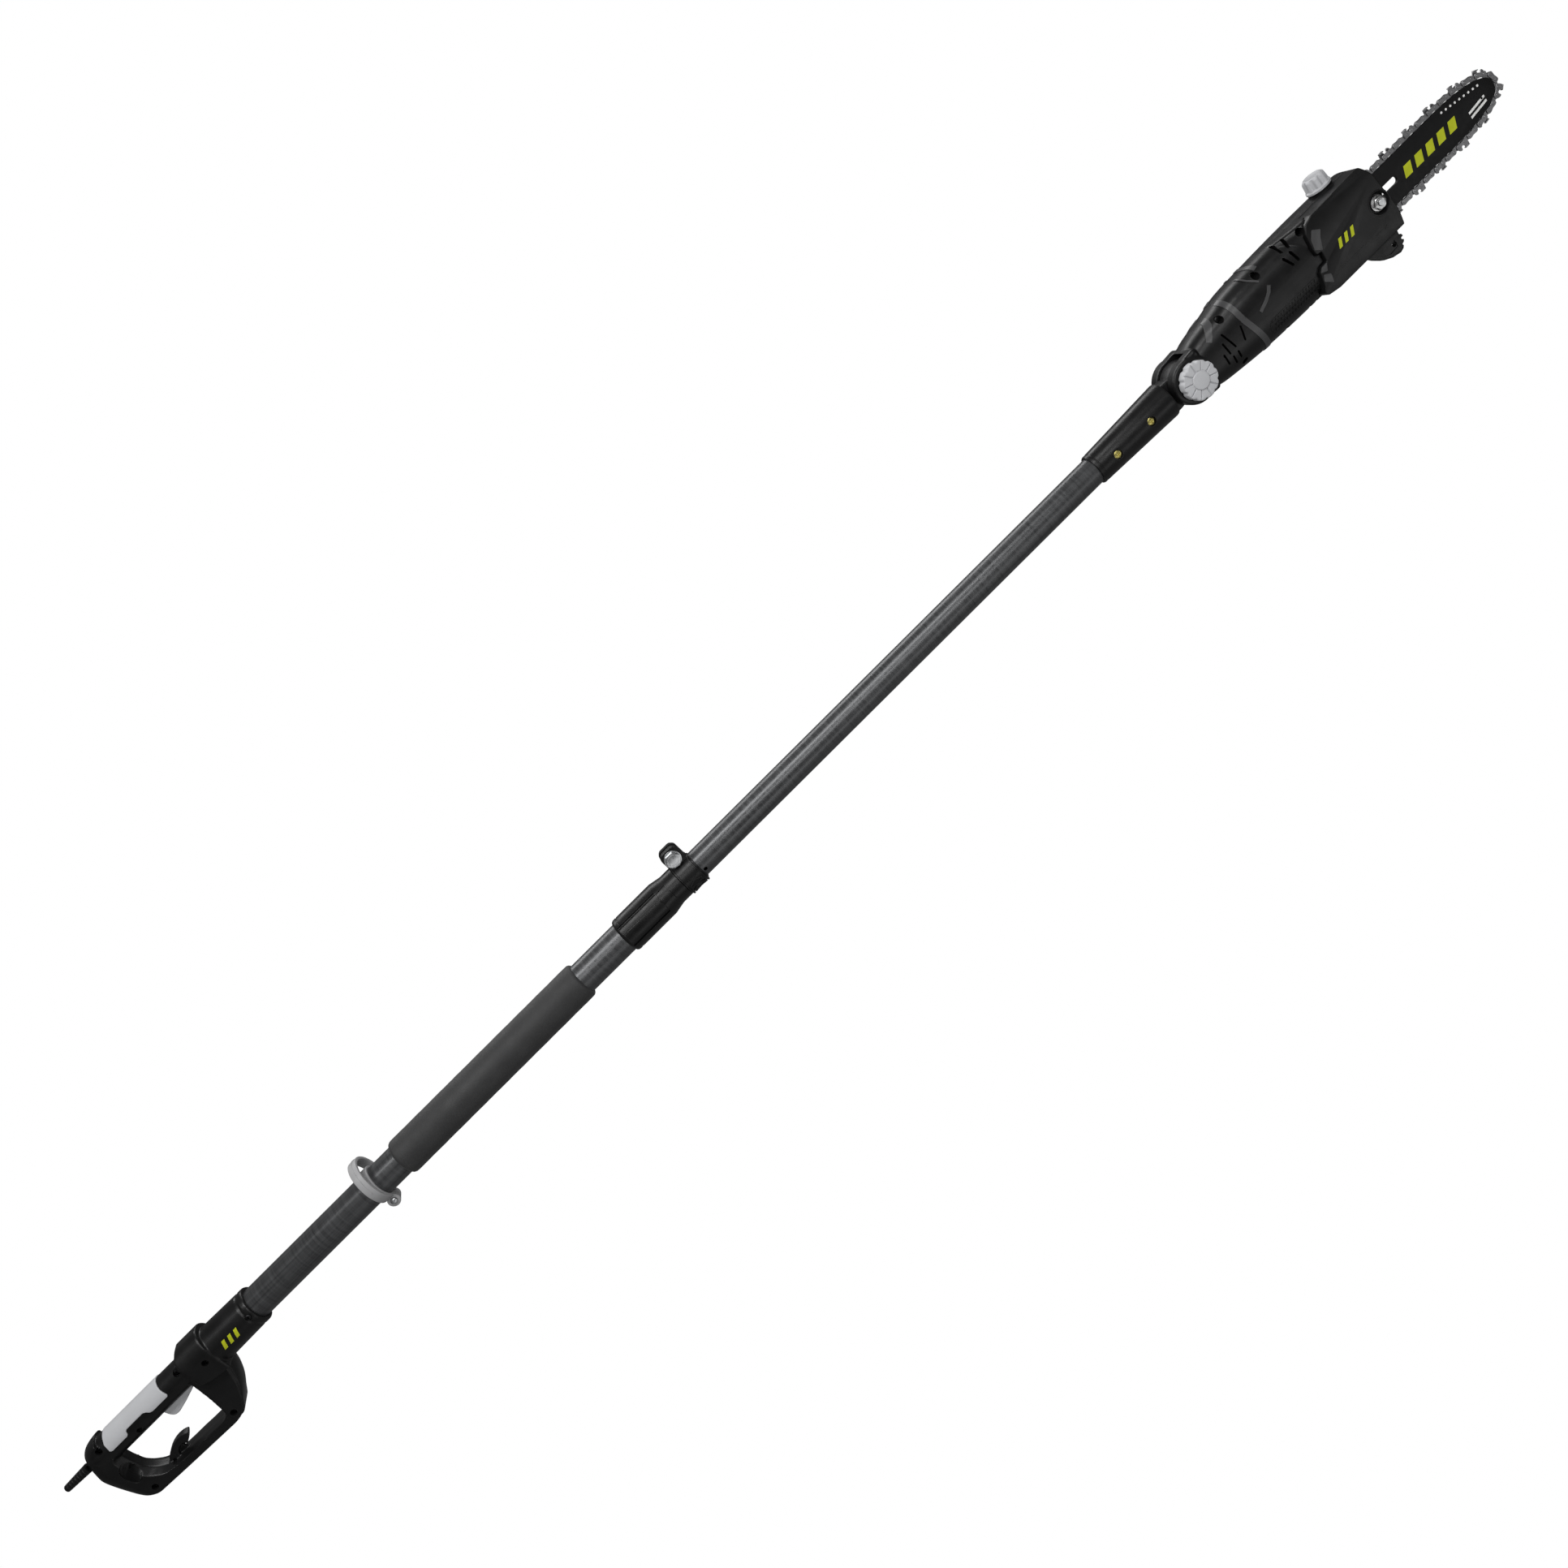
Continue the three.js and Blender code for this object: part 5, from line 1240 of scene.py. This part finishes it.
def branch_hook():
    outline = [
        (957, -43), (965, -52.5), (974, -60.5), (985, -66), (997, -68.6), (1002.5, -66.8), (1005, -64.3),
        (1003.8, -62.2), (1007.5, -60.8), (1009.2, -58.4), (1006.6, -56.8), (1006.8, -54.6),
        (1010.6, -54.4),
        (1009.6, -51), (1007, -49.6), (1008, -43),
    ]
    hook = softened(plate("pull_hook", outline, -36, -26), 1.0, 3, 50)
    sunk = plate("sunk", [(969, -50), (998, -50), (998, -60), (985, -61), (975, -56)], -40, -34.6)
    cut(hook, softened(sunk, 0.3, 1))
    cut(hook, rod("eye", -60, -10, 3.2, (995.5, -55)))
    shown(hook, "black_plastic", "saw_head", replaces=["branch_hook"])


# ------------------------------------------------------------------ guide bar and chain
BAR_TAIL, BAR_ROOT, BAR_TAPER, BAR_NOSE, BAR_HALF = 972, 986, 1120, 1216.5, 25.2
BAR_MIDDLE = -20.5
CHAIN_LINE, WRAP_R, PITCH = 4.3, 22, 9.525


def bar_edge(grow, steps=40):
    """Half of the bar's edge, tail to nose, at a distance outside it."""
    points = [(BAR_TAIL - grow, 0), (BAR_TAIL - grow, BAR_HALF * 0.6 + grow), (BAR_ROOT, BAR_HALF + grow)]
    for i in range(steps + 1):
        along = sin(pi / 2 * i / steps)
        height = (1 - along**2.5) ** (1 / 2.5)
        points.append((BAR_TAPER + (BAR_NOSE + grow - BAR_TAPER) * along, (BAR_HALF + grow) * height))
    return points


def guide_bar():
    """Bar with a groove round its edge, an adjusting slot, oil and tension holes."""
    face, back = BAR_MIDDLE - 2.1, BAR_MIDDLE + 2.1
    blade = softened(plate("bar_blade", mirrored(bar_edge(0)), face, back), 0.35, 2)
    groove = plate("groove", mirrored(bar_edge(3)), BAR_MIDDLE - 0.75, BAR_MIDDLE + 0.75)
    combined(groove, "DIFFERENCE", [plate("core", mirrored(bar_edge(-5)), face, back)], "EXACT")
    cut(blade, groove)
    slot_r = 4.6
    slot_end = [(1046.4 + slot_r * sin(pi * i / 16), -slot_r * cos(pi * i / 16)) for i in range(17)]
    slot = [(990, -slot_r), *slot_end, (990, slot_r)]
    cut(
        blade,
        plate("adjusting_slot", slot, -30, -10),
        rod("tension_hole", -30, -10, 2.8, (987, -21)),
        rod("tension_hole_2", -30, -10, 2.8, (987, 21)),
        rod("oil_hole", -30, -10, 1.4, (1001, 19)),
        rod("oil_hole_2", -30, -10, 1.4, (1001, -19)),
    )
    for place in circle(5, (1196, 0), 3):
        join(blade, rod("rivet", face - 0.12, back + 0.12, 1.5, place, 20))
    shown(blade, "bar_paint", "bar_and_chain", replaces=["guide_bar"])

    proud = 0.06
    lime, white = [], []
    for i in range(5):
        x = 1060 + 19 * i
        lean = 5
        mark = [(x, -2), (x + 12, -2), (x + 12 + lean, 12), (x + lean, 12)]
        lime.append(plate("mark", [(u, v - 7.5) for u, v in mark], face - proud, face + 0.05))
    for i in range(9):
        u = 1141 + 7 * i
        white.append(plate("dash", circle(1.5, (u, 19 - 0.14 * (u - 1141)), 16), face - proud, face + 0.05))
    for i in range(2):
        stripe = [(1170, -15 + 6 * i), (1198, -11.6 + 6 * i), (1198, -8.6 + 6 * i), (1170, -12 + 6 * i)]
        white.append(plate("stripe", stripe, face - proud, face + 0.05))
    shown(merged("bar_marks_lime", lime), "lime_paint", "bar_and_chain")
    shown(merged("bar_marks_white", white), "white_paint", "bar_and_chain")


def rivet_line():
    """Places along the chain, one for each rivet, on its loop round the sprocket and the bar."""
    wrap = []
    for i in range(25):
        turn = pi - i / 24 * (pi / 2 - 0.1)
        wrap.append((DRIVE_X + WRAP_R * cos(turn), WRAP_R * sin(turn)))
    loop = mirrored(wrap + bar_edge(CHAIN_LINE, 120)[2:])
    lengths = [0.0]
    for i, point in enumerate(loop):
        after = loop[(i + 1) % len(loop)]
        lengths.append(lengths[-1] + hypot(after[0] - point[0], after[1] - point[1]))
    count = 4 * round(lengths[-1] / PITCH / 4)
    places = []
    k = 0
    for i in range(count):
        want = lengths[-1] * i / count
        while lengths[k + 1] < want:
            k += 1
        share = (want - lengths[k]) / (lengths[k + 1] - lengths[k])
        a, b = Vector(loop[k]), Vector(loop[(k + 1) % len(loop)])
        places.append(a.lerp(b, share))
    return places


def link_plate(outline, start, end, y0, y1):
    """A chain plate drawn along u from one rivet to the next, v outwards."""
    way = (end - start).normalized()
    outward = Vector((-way.y, way.x))
    span = (end - start).length
    points = []
    for u, v in outline:
        spot = start + way * (u * span / PITCH) + outward * v
        points.append((spot.x, spot.y))
    return plate("link", points, y0, y1)


def saw_chain():
    """Drive links, tie straps, left and right cutters and their rivets."""
    strap_line = [
        (-3.6, 0), (-2.6, 2.8), (0, 3.5), (4.76, 2.9), (9.5, 3.5), (12.1, 2.8), (13.1, 0), (12.1, -2.6),
        (9.5, -3.3), (4.76, -2.6), (0, -3.3), (-2.6, -2.6),
    ]
    strap = smooth_line(strap_line, 3)
    cutter = [
        (-3.8, -2.4), (-4.2, 1.5), (-4.0, 4.6), (-3.4, 6.7), (2.9, 7.1), (2.3, 4.6), (3.4, 2.6), (5.2, 1.7),
        (6.9, 2.5), (7.7, 5.9), (9.4, 6.2), (11.2, 5.0), (12.8, 2.4), (13.2, -0.6), (12.0, -2.8),
        (9.5, -3.3),
        (4.8, -2.4), (0, -3.3), (-2.6, -3.1),
    ]
    drive_link = [
        (-3.2, 0.6), (-1.8, 2.6), (1.6, 3.0), (4.76, 2.1), (7.9, 3.0), (11.3, 2.6), (12.7, 0.6),
        (11.9, -2.2),
        (9.0, -4.1), (6.9, -5.4), (4.9, -7.6), (3.4, -7.4), (2.2, -5.6), (0.6, -4.1), (-2.4, -2.2),
    ]
    places = rivet_line()
    bodies = []
    near = (BAR_MIDDLE - 2.15, BAR_MIDDLE - 0.8)
    far = (BAR_MIDDLE + 0.8, BAR_MIDDLE + 2.15)
    for i, start in enumerate(places):
        end = places[(i + 1) % len(places)]
        if i % 2 == 0:
            bodies.append(link_plate(drive_link, start, end, BAR_MIDDLE - 0.65, BAR_MIDDLE + 0.65))
        elif i % 4 == 1:
            bodies.append(link_plate(strap, start, end, *near))
            bodies.append(link_plate(strap, start, end, *far))
        else:
            cut_side, tie_side = (near, far) if i % 8 == 3 else (far, near)
            bodies.append(link_plate(cutter, start, end, *cut_side))
            bodies.append(link_plate(strap, start, end, *tie_side))
            top = [(-3.5, 5.8), (-3.3, 6.9), (3.0, 7.2), (2.8, 6.1)]
            lip = (-2.9, 1.0) if cut_side is near else (-1.0, 2.9)
            bodies.append(link_plate(top, start, end, BAR_MIDDLE + lip[0], BAR_MIDDLE + lip[1]))
        for y0, y1 in ((near[0] - 0.55, near[1] + 0.3), (far[0] - 0.3, far[1] + 0.55)):
            bodies.append(rod("rivet", y0, y1, 1.75, (start.x, start.y), 16))
    chain = merged("chain_loop", bodies)
    softened(chain, 0.18, 1, 50)
    shown(chain, "steel", "bar_and_chain", replaces=["saw_chain"])


# ------------------------------------------------------------------ plain marks in place of badges
def marks():
    """Three slanted lime bars on the handle's sleeve and on the cover."""
    spots = (("handle_mark", (-953.5, 0), "handle"), ("cover_mark", (947, -1), "saw_head"))
    lean, half_height = 5, 5.5
    for name, (x, z), body in spots:
        bars = []
        for i in (-1, 0, 1):
            u = x + 10 * i
            low, high = z - half_height, z + half_height
            outline = [(u - lean, low), (u, low), (u + lean, high), (u, high)]
            bars.append(plate("mark", outline, -60, -20))
        drawn = merged(name, bars)
        if body == "handle":
            common(drawn, turned("shell", [(-1000, 26.8), (-984, 26.8), (-924, 25.8)], 192))
            cut(drawn, turned("core", [(-1010, 26.2), (-984, 26.2), (-920, 25.2)], 192))
        else:
            common(drawn, bar("shell", (900, 1000), (-42.08, -41.9), THROUGH))
        shown(drawn, "lime_paint", body)


# ------------------------------------------------------------------ CAD pieces shown as they are
KEPT = {
    "inner_plastic": [
        "power_switch", "cooling_fan", "carbon_brush_1", "carbon_brush_2", "oil_tank", "oil_pump",
        "slide_bush",
    ],
    "steel": [
        "trigger_pin", "lever_pin", "armature", "rear_bearing", "front_bearing", "output_bearing_right",
        "output_bearing_left", "pinion", "driven_gear", "output_shaft", "drive_sprocket", "tension_pin",
    ],
    "windings": ["stator"],
    "zinc": ["tilt_bolt", "bar_stud", "tension_screw"],
}


def kept_nodes():
    """Gives the inner pieces, which are drawn as their CAD solids, their materials."""
    for material, names in KEPT.items():
        for name in names:
            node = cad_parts[name]
            node.data.materials.clear()
            node.data.materials.append(MATERIALS[material])


studio()
floor()
handle()
poles()
foam_grip()
strap_ring()
lock_sleeve()
clamp()
head_bracket()
tilt_knob()
motor_housing()
sprocket_cover()
oil_cap()
branch_hook()
guide_bar()
saw_chain()
marks()
kept_nodes()
